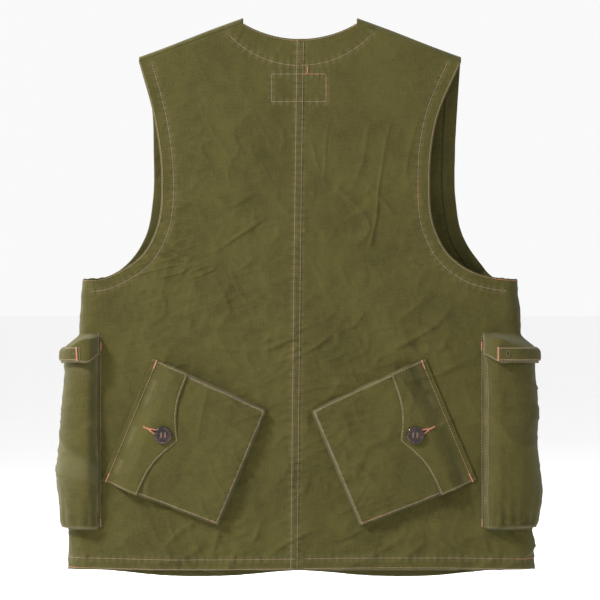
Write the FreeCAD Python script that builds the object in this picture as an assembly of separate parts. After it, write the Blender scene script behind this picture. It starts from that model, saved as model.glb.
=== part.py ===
"""Sleeveless cotton fishing vest, hung from its shoulders and buttoned up at the front.

The vest hangs as a flat oval tube of cloth: +Z is up, +Y is the way the wearer faces, +X the wearer's right.
The origin is midway between the two points where the shoulder seams reach the neck.
Every cloth piece is a slice of one family of shells, layer(inner, outer), that run parallel to the
outer face of the vest's cloth: a piece is a layer cut by its pattern outline, which is drawn in X and Z.
All sizes are in millimetres.
"""
import FreeCAD, Part
import math
import os

V = FreeCAD.Vector

# ---- the tube: oval sections that change evenly from the shoulders to the hem -------------------------
HEM_Z = -630.0
FRONT_HEM_Z = -641.0
HALF_WIDTH = (235.0, 271.0)      # at z = 0 and at the hem
HALF_DEPTH = (12.0, 32.0)
SIDE_RADIUS = (9.0, 24.0)
TUBE_TOP_Z = 12.0
TUBE_BOTTOM_Z = -660.0

# ---- cloth ------------------------------------------------------------------------------------------
CLOTH = 1.2
FLAP_CLOTH = 1.6
GAP = 0.3                        # between cloth of two bodies
HINGE_GAP = 0.6                  # from a fold line to the cloth on each side of it

# ---- pattern of the shell ---------------------------------------------------------------------------
NECK_HALF = 66.0
NECK_DROP = 18.4
SHOULDER_TIP = (186.0, -45.0)
SIDE_CUT_X = 225.0               # the back and front panels end here, and the side panel goes round
UNDERARM_Z = -296.0
SHIFT = 5.0                      # the back hangs this far to -X, and the front to +X
BACK_ARMHOLE = [(163.0, -112.0), (155.0, -180.0), (160.0, -235.0), (176.0, -266.0), (205.0, -287.0)]
FRONT_ARMHOLE = [(178.0, -90.0), (175.0, -148.0), (176.0, -205.0), (184.0, -245.0), (203.0, -275.0)]
ARMHOLE_FACING = 14.0
NECK_FACING_DROP = 49.0
NECK_FACING_RADIUS = 112.8
HEM_FACING = 14.0
SEAM_TAPE = 8.0
FOLD_X = NECK_HALF               # each front folds open along a line down from the neck
LAP = 15.0                       # each front passes the centre by this much
V_NECK_Z = -200.0
V_TOP_Z = -14.0
FRONT_CORNER_Z = -634.0

# ---- buttons ----------------------------------------------------------------------------------------
BUTTON_R = 10.0
BUTTON_THICK = 3.6
BUTTON_HOLE_R = 1.1
BUTTON_HOLE_PITCH = 2.3
BUTTON_DISH_R = 6.4
BUTTON_DISH = 0.8
THREAD_R = 0.8
SHANK_R = 2.0
BUTTONHOLE_R = BUTTON_R + 2.0    # the cloth opens this far to let a button through
FRONT_BUTTON_Z = [-225.0 - 88.0 * i for i in range(5)]

# ---- pockets ----------------------------------------------------------------------------------------
POUCH_STAND = 9.5                # how far a flat pocket stands off the vest
MOUTH_GAP = 10.0                 # from the flap's fold line to the pocket's free edge
FLAP_LIFT = 10.5                 # underside of a flat pocket's flap above the vest
FLAP_SIDE = 42.0
FLAP_POINT = 61.5
BUTTON_DOWN = 42.5               # from the fold line to the button
POCKET_SHIFT = -12.4
BACK_POCKET = {"width": 150.0, "depth": 142.0, "top": (154.5, -389.0), "bottom": (212.7, -527.2)}
CHEST_POCKET = {"width": 104.0, "depth": 128.0, "centre_x": 128.0, "top_z": -256.0}

SIDE_STAND = 16.0
SIDE_FLAP_LIFT = 22.0
SIDE_POCKET_TOP = -371.0
SIDE_POCKET_BOTTOM = -582.0
SIDE_FLAP_Z = -361.0
SIDE_REAR_X = {-1: 232.0, 1: 212.0}
SIDE_FRONT_Y = {-1: 18.0, 1: 6.0}
SIDE_FLAP_END_Y = -16.0
SIDE_BUTTON_X = {-1: 257.0, 1: 238.0}

# Small clearances and sizes that several parts share
BUTTON_REST = 0.4                 # from the cloth under a button to the button's back
BUTTON_ROUND = 1.2                # rounding of a button's rims
THREAD_PAD = 0.3                  # thickness of the thread's pad under a button
TOUCH = 0.1                       # room kept between thread and cloth
OVERCUT = 5.0                     # how far a cutting shape passes the face it opens
FLAP_WAIST = 0.32                 # where a flap's edge is hollow, as a share of its half width
FLAP_WAIST_DOWN = 8.0             # and how far that lies below the flap's sides
POUCH_IN = 3.0                    # a pouch is narrower than its flap by this much on each side
TACK = (2.0, 10.0)                # a bar tack's width and length
TACK_THICK = 1.0
TACK_OUT = 2.2                    # from a flap's end to its bar tack's middle line
SIDE_BUTTON_DOWN = 20.0           # from the side flap's fold to its button
SIDE_FLAP_OVER = 1.0              # the flap passes the pouch's rear edge by this much
SIDE_FLAP_REAR = 23.0             # how far it hangs at its rear end,
SIDE_FLAP_LOW = 32.0              # at its lowest,
SIDE_FLAP_LOW_X = 27.0            # which is this far from the pouch's rear edge,
SIDE_FLAP_FORE = 26.0             # and at its front end
SLOT = (2.0, 9.0)                 # half width and half height of the side flap's buttonhole
TAB_SLOT = (3.0, 7.0)             # the same for the tab's
TAB_START = 12.0                  # from the pouch's rear edge to the tab
TAB_HALF = 8.5                    # half of the tab's height
TAB_SHORT = 2.0                   # the tab ends before the flap by this much
PLACKET_EXTRA = 0.2               # the placket's extra thickness
PLACKET_OVER = 6.0                # how much wider than the lap it is, on its outer side
STAND_SHORT = 2.0                 # the button stand ends above the front's lower corner

SIDES = {"left": -1, "right": 1}
FAR = 120.0                      # past every layer, along Y
WIDE = 400.0                     # past every layer, along X
nodes = {}


# ======================================= the shell and its layers ====================================
def between(pair, z):
    """A size given at z = 0 and at the hem, at height z."""
    return pair[0] + (pair[1] - pair[0]) * z / HEM_Z


def oval(z, offset):
    """Section of the tube at height z: two flat back and front arcs joined by tangent side arcs."""
    a = between(HALF_WIDTH, z)
    b = between(HALF_DEPTH, z)
    r = between(SIDE_RADIUS, z)
    c = a - r                                              # centre of a side arc
    h = (c * c - (b - r) ** 2) / (2 * (b - r))             # centre of the back and front arcs
    big, small = h + b + offset, r + offset
    tangent_x = c * big / (big - small)
    tangent_y = math.sqrt(big ** 2 - tangent_x ** 2) - h
    tip, deep = c + small, b + offset
    runs = [
        ((-tangent_x, -tangent_y), (0, -deep), (tangent_x, -tangent_y)),
        ((tangent_x, -tangent_y), (tip, 0), (tangent_x, tangent_y)),
        ((tangent_x, tangent_y), (0, deep), (-tangent_x, tangent_y)),
        ((-tangent_x, tangent_y), (-tip, 0), (-tangent_x, -tangent_y)),
    ]
    return Part.Wire([Part.Arc(*[V(x, y, z) for x, y in run]).toShape() for run in runs])


tubes = {}


def tube(offset):
    """The whole tube as a filled solid, its face this far outside the vest's outer face."""
    if offset not in tubes:
        tubes[offset] = Part.makeLoft([oval(TUBE_TOP_Z, offset), oval(TUBE_BOTTOM_Z, offset)], True, True)
    return tubes[offset]


def layer(inner, outer):
    """The shell between two offsets from the vest's outer face."""
    return tube(outer).cut(tube(inner))


def prism(wire, facing):
    """A closed outline in X and Z, carried from the middle of the vest to past its back or front."""
    return Part.Face(wire).extrude(V(0, facing * FAR, 0))


def outline(points):
    """Straight-sided outline from (x, z) points."""
    return Part.makePolygon([V(x, 0, z) for x, z in points] + [V(points[0][0], 0, points[0][1])])


def block(x0, x1, y0, y1, z0, z1):
    """Box between two corners."""
    return Part.makeBox(x1 - x0, y1 - y0, z1 - z0, V(x0, y0, z0))


def face_y(x, z, offset, facing):
    """Where the layer's face lies at (x, z): facing is -1 for the back and 1 for the front."""
    probe = Part.makeLine(V(x, 0, z), V(x, facing * FAR, z))
    return facing * probe.common(tube(offset)).Length


def mirrored(side, points):
    """Points given for the +X side, on the side asked for."""
    return [(side * x, z) for x, z in points]


# ======================================= shell panels ================================================
def armhole_points(side, facing):
    """Armhole edge from the shoulder tip to the underarm, moved a little by the way the vest hangs."""
    inner = BACK_ARMHOLE if facing < 0 else FRONT_ARMHOLE
    shift = facing * SHIFT
    points = [SHOULDER_TIP] + inner + [(SIDE_CUT_X, UNDERARM_Z + 3.0)]
    moved = [(side * x, z) for x, z in points]
    return [moved[0]] + [(x + shift, z) for x, z in moved[1:-1]] + [moved[-1]]


def armhole_curve(side, facing, inset=0.0):
    """The armhole edge as one smooth curve, or a curve that runs inset millimetres inside it."""
    curve = Part.BSplineCurve()
    curve.interpolate([V(x, 0, z) for x, z in armhole_points(side, facing)])
    if not inset:
        return curve.toShape()
    first, last = curve.FirstParameter, curve.LastParameter
    stations = [first + (last - first) * i / 8 for i in range(9)]
    moved = []
    for t in stations:
        along = curve.tangent(t)[0]
        inward = V(-along.z, 0, along.x) * (-side)
        moved.append(curve.value(t) + inward.normalize() * inset)
    inside = Part.BSplineCurve()
    inside.interpolate(moved)
    return inside.toShape()


def ends(edge):
    """First and last point of an edge, in the direction of its curve."""
    return edge.valueAt(edge.FirstParameter), edge.valueAt(edge.LastParameter)


def back_outline(side):
    """Half of the back: neck curve, shoulder, armhole, side and hem."""
    neck_radius = (NECK_HALF ** 2 + NECK_DROP ** 2) / (2 * NECK_DROP)
    middle_x = NECK_HALF / 2
    middle_z = -NECK_DROP + neck_radius - math.sqrt(neck_radius ** 2 - middle_x ** 2)
    neck = Part.Arc(V(0, 0, -NECK_DROP), V(side * middle_x, 0, middle_z), V(side * NECK_HALF, 0, 0)).toShape()
    armhole = armhole_curve(side, -1)
    tip, underarm = ends(armhole)
    corner = V(side * SIDE_CUT_X, 0, HEM_Z)
    return Part.Wire([
        neck,
        Part.makeLine(V(side * NECK_HALF, 0, 0), tip),
        armhole,
        Part.makeLine(underarm, corner),
        Part.makeLine(corner, V(0, 0, HEM_Z)),
        Part.makeLine(V(0, 0, HEM_Z), V(0, 0, -NECK_DROP)),
    ])


def front_outline(side):
    """The front outside its fold line: shoulder, armhole, side and a hem that dips towards the fold."""
    armhole = armhole_curve(side, 1)
    tip, underarm = ends(armhole)
    fold = side * (FOLD_X + HINGE_GAP)
    drop = (FOLD_X + HINGE_GAP - NECK_HALF) * SHOULDER_TIP[1] / (SHOULDER_TIP[0] - NECK_HALF)
    hem = mirrored(side, [(SIDE_CUT_X, HEM_Z - 3), (150.0, FRONT_HEM_Z), (FOLD_X + HINGE_GAP, FRONT_HEM_Z)])
    corners = [V(fold, 0, drop), tip]
    lower = [underarm] + [V(x, 0, z) for x, z in hem] + [corners[0]]
    edges = [Part.makeLine(*corners), armhole]
    edges += [Part.makeLine(p, q) for p, q in zip(lower, lower[1:])]
    return Part.Wire(edges)


def strip_outline(side, lap):
    """The part of a front that folds open, from its fold line to lap millimetres past the centre."""
    inner = FOLD_X - HINGE_GAP
    top_z = V_TOP_Z
    slope = V_NECK_Z / NECK_HALF
    top_x = FOLD_X - top_z / slope
    past = -lap
    return outline(mirrored(side, [
        (inner, top_z), (top_x, top_z), (0, V_NECK_Z), (past, V_NECK_Z), (past, FRONT_CORNER_Z),
        (past + 12.0, FRONT_HEM_Z), (inner, FRONT_HEM_Z),
    ]))


def make_shell():
    """Back halves, side panels, fronts, and the shoulder strips that join them."""
    cloth = layer(-CLOTH, 0)
    for name, side in SIDES.items():
        nodes["back_panel_" + name] = cloth.common(prism(back_outline(side), -1))
        nodes["front_panel_" + name] = cloth.common(prism(front_outline(side), 1))
        x0, x1 = sorted([side * SIDE_CUT_X, side * (HALF_WIDTH[1] + 9)])
        nodes["side_panel_" + name] = cloth.common(block(x0, x1, -FAR, FAR, HEM_Z - 2, UNDERARM_Z))
        seam = outline(mirrored(side, [
            (NECK_HALF, 0), SHOULDER_TIP, (SHOULDER_TIP[0], SHOULDER_TIP[1] + 2.0), (NECK_HALF, 2.0)]))
        roof = Part.Face(seam).extrude(V(0, 2 * FAR, 0))
        roof.translate(V(0, -FAR, 0))
        nodes["shoulder_seam_" + name] = tube(0).common(roof)


# ======================================= facings inside ==============================================
def band_between(outer_edge, inner_edge):
    """Closed outline between two curves that run the same way."""
    a, b = ends(outer_edge)
    c, d = ends(inner_edge)
    return Part.Wire([outer_edge, Part.makeLine(b, d), inner_edge, Part.makeLine(c, a)])


def make_facings():
    """Facings sewn inside the armholes, neck and hems, and the tape of the centre back seam."""
    inside = layer(-2 * CLOTH, -CLOTH)
    below_shoulder = block(-SIDE_CUT_X, SIDE_CUT_X, -FAR, FAR, UNDERARM_Z - 40, 30)
    for name, side in SIDES.items():
        bands = []
        for facing in (-1, 1):
            band = band_between(armhole_curve(side, facing), armhole_curve(side, facing, ARMHOLE_FACING))
            whole = back_outline(side) if facing < 0 else front_outline(side)
            piece = inside.common(prism(band, facing)).common(prism(whole, facing))
            bands.append(piece.common(below_shoulder))
        nodes["armhole_facing_" + name] = Part.makeCompound([s for b in bands for s in b.Solids])
        hem = outline(mirrored(side, [
            (FOLD_X + 2, FRONT_HEM_Z + 1), (150, FRONT_HEM_Z + 1), (SIDE_CUT_X - 1, HEM_Z - 1),
            (SIDE_CUT_X - 1, HEM_Z - 1 + HEM_FACING), (FOLD_X + 2, FRONT_HEM_Z + 1 + HEM_FACING)]))
        nodes["front_hem_facing_" + name] = inside.common(prism(hem, 1))
    hem_back = block(1 - SIDE_CUT_X, SIDE_CUT_X - 1, -FAR, 0, HEM_Z, HEM_Z + HEM_FACING)
    nodes["back_hem_facing"] = inside.common(hem_back)
    disc = Part.makeCylinder(
        NECK_FACING_RADIUS, FAR, V(0, 0, NECK_FACING_RADIUS - NECK_FACING_DROP), V(0, -1, 0))
    halves = [prism(back_outline(side), -1) for side in SIDES.values()]
    neck = inside.common(disc).common(halves[0].fuse(halves[1]))
    nodes["back_neck_facing"] = neck
    tape_top = -NECK_FACING_DROP - 2
    tape = block(-SEAM_TAPE / 2, SEAM_TAPE / 2, -FAR, 0, HEM_Z + HEM_FACING + 1, tape_top)
    nodes["centre_back_tape"] = inside.common(tape)


def make_label_and_loop():
    """The blank label below the neck, and the loop that hangs the vest on a hook."""
    lining = 2 * CLOTH
    label = block(-29, 29, -FAR, 0, -90, -62)
    cloth = layer(-lining - 0.9, -lining).common(label)
    nodes["neck_label"] = cloth
    back = -face_y(0, -30, -lining, -1)
    loop_half, loop_z, strap, stand = 30.0, -34.0, 7.0, 6.5
    outer = block(-loop_half, loop_half, -back, -back + stand, loop_z, loop_z + strap)
    gap = block(5 - loop_half, loop_half - 5, -back - 1, -back + stand - 1.3, loop_z - 1, loop_z + strap + 1)
    nodes["hanger_loop"] = outer.cut(gap).cut(tube(5).cut(tube(-lining)))


# ======================================= buttons =====================================================
def lean(x, z, stand):
    """How far, in degrees about Z, a face at x on the vest's round side turns away from straight back."""
    side_radius = between(SIDE_RADIUS, z)
    past_flat = max(0.0, abs(x) - between(HALF_WIDTH, z) + side_radius)
    return math.copysign(math.degrees(math.asin(past_flat / (side_radius + stand))), x)


def button(x, z, stand, facing):
    """Four-hole button whose back is stand millimetres off the vest, and its thread."""
    seat = face_y(x, z, stand, facing)
    disc = Part.makeCylinder(BUTTON_R, BUTTON_THICK)
    disc = disc.makeFillet(BUTTON_ROUND, [e for e in disc.Edges if e.Curve.TypeId == "Part::GeomCircle"])
    dish = Part.makeCylinder(BUTTON_DISH_R, BUTTON_DISH, V(0, 0, BUTTON_THICK - BUTTON_DISH))
    disc = disc.cut(dish)
    floor = BUTTON_THICK - BUTTON_DISH
    thread = Part.makeCylinder(SHANK_R + BUTTON_HOLE_PITCH, THREAD_PAD, V(0, 0, -THREAD_PAD))
    for sx in (-1, 1):
        for sy in (-1, 1):
            place = V(sx * BUTTON_HOLE_PITCH, sy * BUTTON_HOLE_PITCH, -1)
            disc = disc.cut(Part.makeCylinder(BUTTON_HOLE_R, BUTTON_THICK + 2, place))
            post = Part.makeCylinder(THREAD_R, floor + 2 * THREAD_PAD, place + V(0, 0, 1))
            thread = thread.fuse(post)
        bar = Part.makeBox(2 * THREAD_R, 2 * (BUTTON_HOLE_PITCH + THREAD_R), THREAD_R,
                           V(sx * BUTTON_HOLE_PITCH - THREAD_R, -BUTTON_HOLE_PITCH - THREAD_R, floor))
        thread = thread.fuse(bar)
    for shape in (disc, thread):
        shape.rotate(V(0, 0, 0), V(1, 0, 0), -facing * 90)
        shape.rotate(V(0, 0, 0), V(0, 0, 1), -facing * lean(x, z, stand))
        shape.translate(V(x, seat, z))
    return disc, thread


def shank(x, z, low, high, facing):
    """Thread wound under a button, from the cloth to the button's back."""
    y0, y1 = face_y(x, z, low, facing), face_y(x, z, high, facing)
    return Part.makeCylinder(SHANK_R, abs(y1 - y0), V(x, y0, z), V(0, facing, 0))


# ======================================= flat pockets ================================================
def place(frame, along, down):
    """(x, z) of a point along the fold line and down from it, in a pocket's own frame."""
    (ox, oz), (ux, uz), (wx, wz) = frame
    return ox + ux * along + wx * down, oz + uz * along + wz * down


def pocket_region(frame, half, start, end):
    """Rectangle of a pocket's own frame, as an outline."""
    corners = [(-half, start), (half, start), (half, end), (-half, end)]
    return outline([place(frame, s, d) for s, d in corners])


def flap_outline(frame, half):
    """Flap with straight ends and a pointed, hollow-sided lower edge."""
    point = place(frame, 0, FLAP_POINT)
    left, right = place(frame, -half, FLAP_SIDE), place(frame, half, FLAP_SIDE)
    waist = [place(frame, s * half * FLAP_WAIST, FLAP_SIDE + FLAP_WAIST_DOWN) for s in (-1, 1)]
    root = [place(frame, s * half, HINGE_GAP) for s in (-1, 1)]
    sweep = [Part.Arc(V(a[0], 0, a[1]), V(m[0], 0, m[1]), V(b[0], 0, b[1])).toShape()
             for a, m, b in ((left, waist[0], point), (point, waist[1], right))]
    lines = [Part.makeLine(V(a[0], 0, a[1]), V(b[0], 0, b[1]))
             for a, b in ((right, root[1]), (root[1], root[0]), (root[0], left))]
    return Part.Wire(sweep + lines)


def flat_pocket(prefix, name, frame, width, depth, facing):
    """Pouch, flap, root strip, bar tacks, button and thread of one flat pocket."""
    half = width / 2
    pouch_half = half - POUCH_IN
    wall = layer(0.0, POUCH_STAND).common(prism(pocket_region(frame, pouch_half, MOUTH_GAP, depth), facing))
    hollow = layer(-OVERCUT, POUCH_STAND - CLOTH).common(
        prism(pocket_region(frame, pouch_half - CLOTH, MOUTH_GAP - OVERCUT, depth - CLOTH), facing))
    nodes[f"{prefix}_pocket_{name}"] = wall.cut(hollow)

    x, z = place(frame, 0, BUTTON_DOWN)
    stand = FLAP_LIFT + FLAP_CLOTH + BUTTON_REST
    disc, thread = button(x, z, stand, facing)
    nodes[f"{prefix}_button_{name}"] = disc
    nodes[f"{prefix}_button_thread_{name}"] = thread.fuse(
        shank(x, z, POUCH_STAND + TOUCH, stand, facing)).removeSplitter()

    top = FLAP_LIFT + FLAP_CLOTH
    cloth = layer(FLAP_LIFT, top).common(prism(flap_outline(frame, half), facing))
    hole = Part.makeCylinder(BUTTONHOLE_R, FAR, V(x, 0, z), V(0, facing, 0))
    nodes[f"{prefix}_flap_{name}"] = cloth.cut(hole)

    root = pocket_region(frame, half, -HINGE_GAP - CLOTH, -HINGE_GAP)
    nodes[f"{prefix}_flap_root_{name}"] = layer(0.0, top).common(prism(root, facing))
    across, up = TACK[0] / 2, TACK[1] / 2
    corners = [(-across, -up), (across, -up), (across, up), (-across, up)]
    tacks = [layer(0.0, TACK_THICK).common(prism(outline(
        [place(frame, s * (half + TACK_OUT) + a, d) for a, d in corners]), facing)) for s in (-1, 1)]
    nodes[f"{prefix}_bar_tacks_{name}"] = Part.makeCompound([s for t in tacks for s in t.Solids])


def back_pocket_frame(side):
    """Slanted frame of a back pocket: its mouth faces out and up, its flap lies inwards."""
    (tx, tz), (bx, bz) = BACK_POCKET["top"], BACK_POCKET["bottom"]
    top, bottom = (side * tx + POCKET_SHIFT, tz), (side * bx + POCKET_SHIFT, bz)
    length = math.hypot(bottom[0] - top[0], bottom[1] - top[1])
    along = ((bottom[0] - top[0]) / length, (bottom[1] - top[1]) / length)
    down = (side * along[1], -side * along[0])
    middle = ((top[0] + bottom[0]) / 2, (top[1] + bottom[1]) / 2)
    return middle, along, down


def chest_pocket_frame(side):
    """Level frame of a chest pocket: its flap hangs down."""
    return (side * CHEST_POCKET["centre_x"], CHEST_POCKET["top_z"]), (1.0, 0.0), (0.0, -1.0)


# ======================================= side pockets ================================================
def side_region(side, rear_x, front_y, z0, z1):
    """Everything outside rear_x at the back, round the side and on to front_y at the front."""
    x0, x1 = sorted([side * rear_x, side * WIDE])
    return block(x0, x1, -FAR, front_y, z0, z1)


def side_pocket(name, side):
    """Tall pouch that goes round the vest's side, with its flap, tab, button and thread."""
    rear, front = SIDE_REAR_X[side], SIDE_FRONT_Y[side]
    wall = layer(0.0, SIDE_STAND).common(
        side_region(side, rear, front, SIDE_POCKET_BOTTOM, SIDE_POCKET_TOP))
    hollow = layer(-OVERCUT, SIDE_STAND - CLOTH).common(side_region(
        side, rear + CLOTH, front - CLOTH, SIDE_POCKET_BOTTOM + CLOTH, SIDE_POCKET_TOP + OVERCUT))
    nodes["side_pocket_" + name] = wall.cut(hollow)

    bx, bz = side * SIDE_BUTTON_X[side], SIDE_FLAP_Z - SIDE_BUTTON_DOWN
    stand = SIDE_STAND + BUTTON_REST
    disc, thread = button(bx, bz, stand, -1)
    nodes["side_button_" + name] = disc
    nodes["side_button_thread_" + name] = thread.cut(tube(SIDE_STAND + TOUCH / 2))

    top = SIDE_FLAP_LIFT + FLAP_CLOTH
    end_x = between(HALF_WIDTH, SIDE_FLAP_Z) + top
    flap = outline(mirrored(side, [
        (rear - SIDE_FLAP_OVER, SIDE_FLAP_Z - HINGE_GAP),
        (rear - SIDE_FLAP_OVER, SIDE_FLAP_Z - SIDE_FLAP_REAR),
        (rear + SIDE_FLAP_LOW_X, SIDE_FLAP_Z - SIDE_FLAP_LOW),
        (end_x, SIDE_FLAP_Z - SIDE_FLAP_FORE), (end_x, SIDE_FLAP_Z - HINGE_GAP)]))
    short = block(-WIDE, WIDE, -FAR, SIDE_FLAP_END_Y, SIDE_FLAP_Z - 2 * SIDE_FLAP_LOW, SIDE_FLAP_Z)
    slot = block(bx - SLOT[0], bx + SLOT[0], -FAR, 0, bz - SLOT[1], bz + SLOT[1])
    nodes["side_flap_" + name] = layer(SIDE_FLAP_LIFT, top).common(prism(flap, -1)).common(short).cut(slot)
    root_z = SIDE_FLAP_Z + HINGE_GAP
    root = side_region(side, rear - SIDE_FLAP_OVER, SIDE_FLAP_END_Y, root_z, root_z + CLOTH)
    nodes["side_flap_root_" + name] = layer(0.0, top).common(root)
    tab = block(*sorted([side * (rear + TAB_START), side * WIDE]), -FAR, SIDE_FLAP_END_Y - TAB_SHORT,
                bz - TAB_HALF, bz + TAB_HALF)
    clear = block(bx - TAB_SLOT[0], bx + TAB_SLOT[0], -FAR, 0, bz - TAB_SLOT[1], bz + TAB_SLOT[1])
    nodes["side_flap_tab_" + name] = layer(top, top + CLOTH).common(tab).common(prism(flap, -1)).cut(clear)


# ======================================= front edges =================================================
def make_fronts():
    """The two opening edges: the left one carries the buttonholes and covers the right one."""
    nodes["front_edge_left"] = layer(-CLOTH, 0).common(prism(strip_outline(-1, -LAP - 1), 1))
    right = strip_outline(1, LAP)
    nodes["front_edge_right"] = layer(-CLOTH - GAP, -GAP).common(prism(right, 1))
    stand = block(-LAP, LAP, 0, FAR, FRONT_CORNER_Z + STAND_SHORT, V_NECK_Z)
    nodes["button_stand"] = layer(-2 * CLOTH - GAP, -CLOTH - GAP).common(stand)
    placket_top = CLOTH + PLACKET_EXTRA
    placket = block(-LAP - PLACKET_OVER, LAP, 0, FAR, FRONT_CORNER_Z, V_NECK_Z)
    cloth = layer(0, placket_top).common(placket)
    discs, threads = [], []
    for z in FRONT_BUTTON_Z:
        cloth = cloth.cut(Part.makeCylinder(BUTTONHOLE_R, FAR, V(0, 0, z), V(0, 1, 0)))
        disc, thread = button(0, z, placket_top + BUTTON_REST, 1)
        discs.append(disc)
        threads.append(thread.fuse(shank(0, z, -GAP + TOUCH, placket_top + BUTTON_REST, 1)).removeSplitter())
    nodes["front_placket"] = cloth
    nodes["front_buttons"] = Part.makeCompound(discs)
    nodes["front_button_threads"] = Part.makeCompound(threads)


def main():
    make_shell()
    make_facings()
    make_label_and_loop()
    for name, side in SIDES.items():
        flat_pocket("back", name, back_pocket_frame(side), BACK_POCKET["width"], BACK_POCKET["depth"], -1)
        flat_pocket("chest", name, chest_pocket_frame(side), CHEST_POCKET["width"], CHEST_POCKET["depth"], 1)
        side_pocket(name, side)
    make_fronts()
    os.makedirs("parts", exist_ok=True)
    for name, shape in sorted(nodes.items()):
        solids = shape.Solids
        sound = all(s.isValid() and s.Volume > 0 for s in solids)
        verdict = "ok" if sound and solids else "BAD"
        print(f"{name:28s} {len(solids)} solid(s) {shape.Volume / 1000:8.2f} cm3 {verdict}")
        shape = solids[0] if len(solids) == 1 else Part.makeCompound(solids)
        shape.exportStep(f"parts/{name}.step")


main()
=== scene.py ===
# %% [markdown]
# # A cotton fishing vest
# The vest is a wide tube of thin olive cloth that hangs from its shoulders. Pockets, flaps and facings are
# more layers of the same cloth, and contrasting thread holds them all together.
# The plan is to work out one smooth surface for the whole body, and to give every piece of cloth its own lift
# above or below that surface. Pieces made like this stay in the right order from inside to outside.

import bpy
import numpy as np
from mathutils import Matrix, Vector


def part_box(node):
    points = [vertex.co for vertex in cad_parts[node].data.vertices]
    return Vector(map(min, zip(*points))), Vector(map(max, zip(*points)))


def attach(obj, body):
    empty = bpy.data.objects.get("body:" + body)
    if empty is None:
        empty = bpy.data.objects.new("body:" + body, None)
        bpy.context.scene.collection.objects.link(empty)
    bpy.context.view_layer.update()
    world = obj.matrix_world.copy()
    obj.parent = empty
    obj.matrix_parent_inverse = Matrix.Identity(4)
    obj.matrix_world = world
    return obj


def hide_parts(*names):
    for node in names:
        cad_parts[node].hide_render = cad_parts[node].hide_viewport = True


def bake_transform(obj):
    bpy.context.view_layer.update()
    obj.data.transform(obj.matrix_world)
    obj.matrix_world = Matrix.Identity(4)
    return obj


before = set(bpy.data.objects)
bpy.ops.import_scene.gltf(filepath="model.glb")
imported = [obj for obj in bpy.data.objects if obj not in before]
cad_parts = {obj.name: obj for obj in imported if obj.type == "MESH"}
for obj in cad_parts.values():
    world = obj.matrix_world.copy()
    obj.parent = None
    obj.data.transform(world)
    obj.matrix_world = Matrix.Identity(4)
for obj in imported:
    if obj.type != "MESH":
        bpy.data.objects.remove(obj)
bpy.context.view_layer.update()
MM = 0.001
SIDES = {"left": -1, "right": 1}

# %% [markdown]
# ## The body's surface
# At each height the vest is a flat oval: a wide arc for the back, another for the front, and a tight arc at
# each side. A real vest gets this shape from the cloth hanging over a hanger.
# It could be modelled by hand or draped by simulation. A formula was chosen, because then any piece can ask
# for the point at a distance `s` round the body, at height `z`, at any lift from the cloth.

# %% Sections of the body
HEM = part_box("back_panel_left")[0][2] / MM
FRONT_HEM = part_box("front_panel_left")[0][2] / MM
NECK_HALF = -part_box("shoulder_seam_left")[1][0] / MM
TIP_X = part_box("shoulder_seam_right")[1][0] / MM
TIP_Z = -45.0
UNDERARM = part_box("side_panel_left")[1][2] / MM
TOP_SIZES = (235.0, 12.0, 9.0)          # half width, half depth and side radius at the shoulders' height
HEM_SIZES = (271.0, 32.0, 24.0)
print(f"back hem {HEM:.0f}, front hem {FRONT_HEM:.0f}, underarm {UNDERARM:.0f} mm")


def section(z):
    """Sizes of the oval at height z. The back arc's centre lies so that it meets the side arcs smoothly."""
    share = np.asarray(z, float) / HEM
    width, depth, side = [a + (b - a) * share for a, b in zip(TOP_SIZES, HEM_SIZES)]
    centre = width - side
    behind = (centre ** 2 - (depth - side) ** 2) / (2 * (depth - side))
    radius = behind + depth
    turn = np.arcsin(centre / (radius - side))
    return side, centre, behind, radius, turn


def half_round(z):
    """Distance round the body from the centre back to the centre front."""
    side, _, _, radius, turn = section(z)
    return 2 * radius * turn + side * (np.pi - 2 * turn)


def around(s, z, lift=0.0):
    """Point at distance s from the centre back: on the back arc, then the side arc, then the front arc."""
    side, centre, behind, radius, turn = section(z)
    q = np.abs(s)
    first = radius * turn
    second = first + side * (np.pi - 2 * turn)
    whole = second + first
    on_back, on_side = q < first, (q >= first) & (q < second)
    past_back = np.where(on_side, turn + (q - first) / side, np.pi - (whole - q) / radius)
    angle = np.where(on_back, q / radius, past_back)
    arm = np.where(on_side, side, radius) + lift
    x = np.where(on_side, centre, 0) + arm * np.sin(angle)
    y = np.where(on_back, behind, np.where(on_side, 0, -behind)) - arm * np.cos(angle)
    return np.stack(np.broadcast_arrays(np.where(np.asarray(s) < 0, -x, x), y, z), -1)


def front(x, z, side):
    """Distance round the body of a point x millimetres from the centre front, towards the given side."""
    return side * (half_round(z) - x)


# %% [markdown]
# ## Folds that no two places share
# Washed cotton is never flat: it has slow swells, sharper creases that run aslant, and a fine crumple.
# Cloth simulation could make such folds. Here they come from smooth random numbers instead, worked out from a
# place's own coordinates, so that layers on top of each other get the same swell.

# %% Smooth random numbers
def lattice(i, j, seed):
    """A fixed random number from -1 to 1 for each whole point: its coordinates, mixed as integers."""
    n = (i * 374761393 + j * 668265263 + seed * 974634777) & 0xFFFFFFFF
    n = ((n ^ (n >> 13)) * 1274126177) & 0xFFFFFFFF
    return ((n ^ (n >> 16)) & 0xFFFF) / 32767.5 - 1


def noise(u, v, seed):
    """Random numbers at whole points, blended between them with a curve that is flat at both ends."""
    u, v = np.broadcast_arrays(np.asarray(u, float), np.asarray(v, float))
    i, j = np.floor(u).astype(np.int64), np.floor(v).astype(np.int64)
    a, b = u - i, v - j
    a, b = [t * t * t * (t * (6 * t - 15) + 10) for t in (a, b)]
    low = lattice(i, j, seed) * (1 - a) + lattice(i + 1, j, seed) * a
    high = lattice(i, j + 1, seed) * (1 - a) + lattice(i + 1, j + 1, seed) * a
    return low * (1 - b) + high * b


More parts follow.
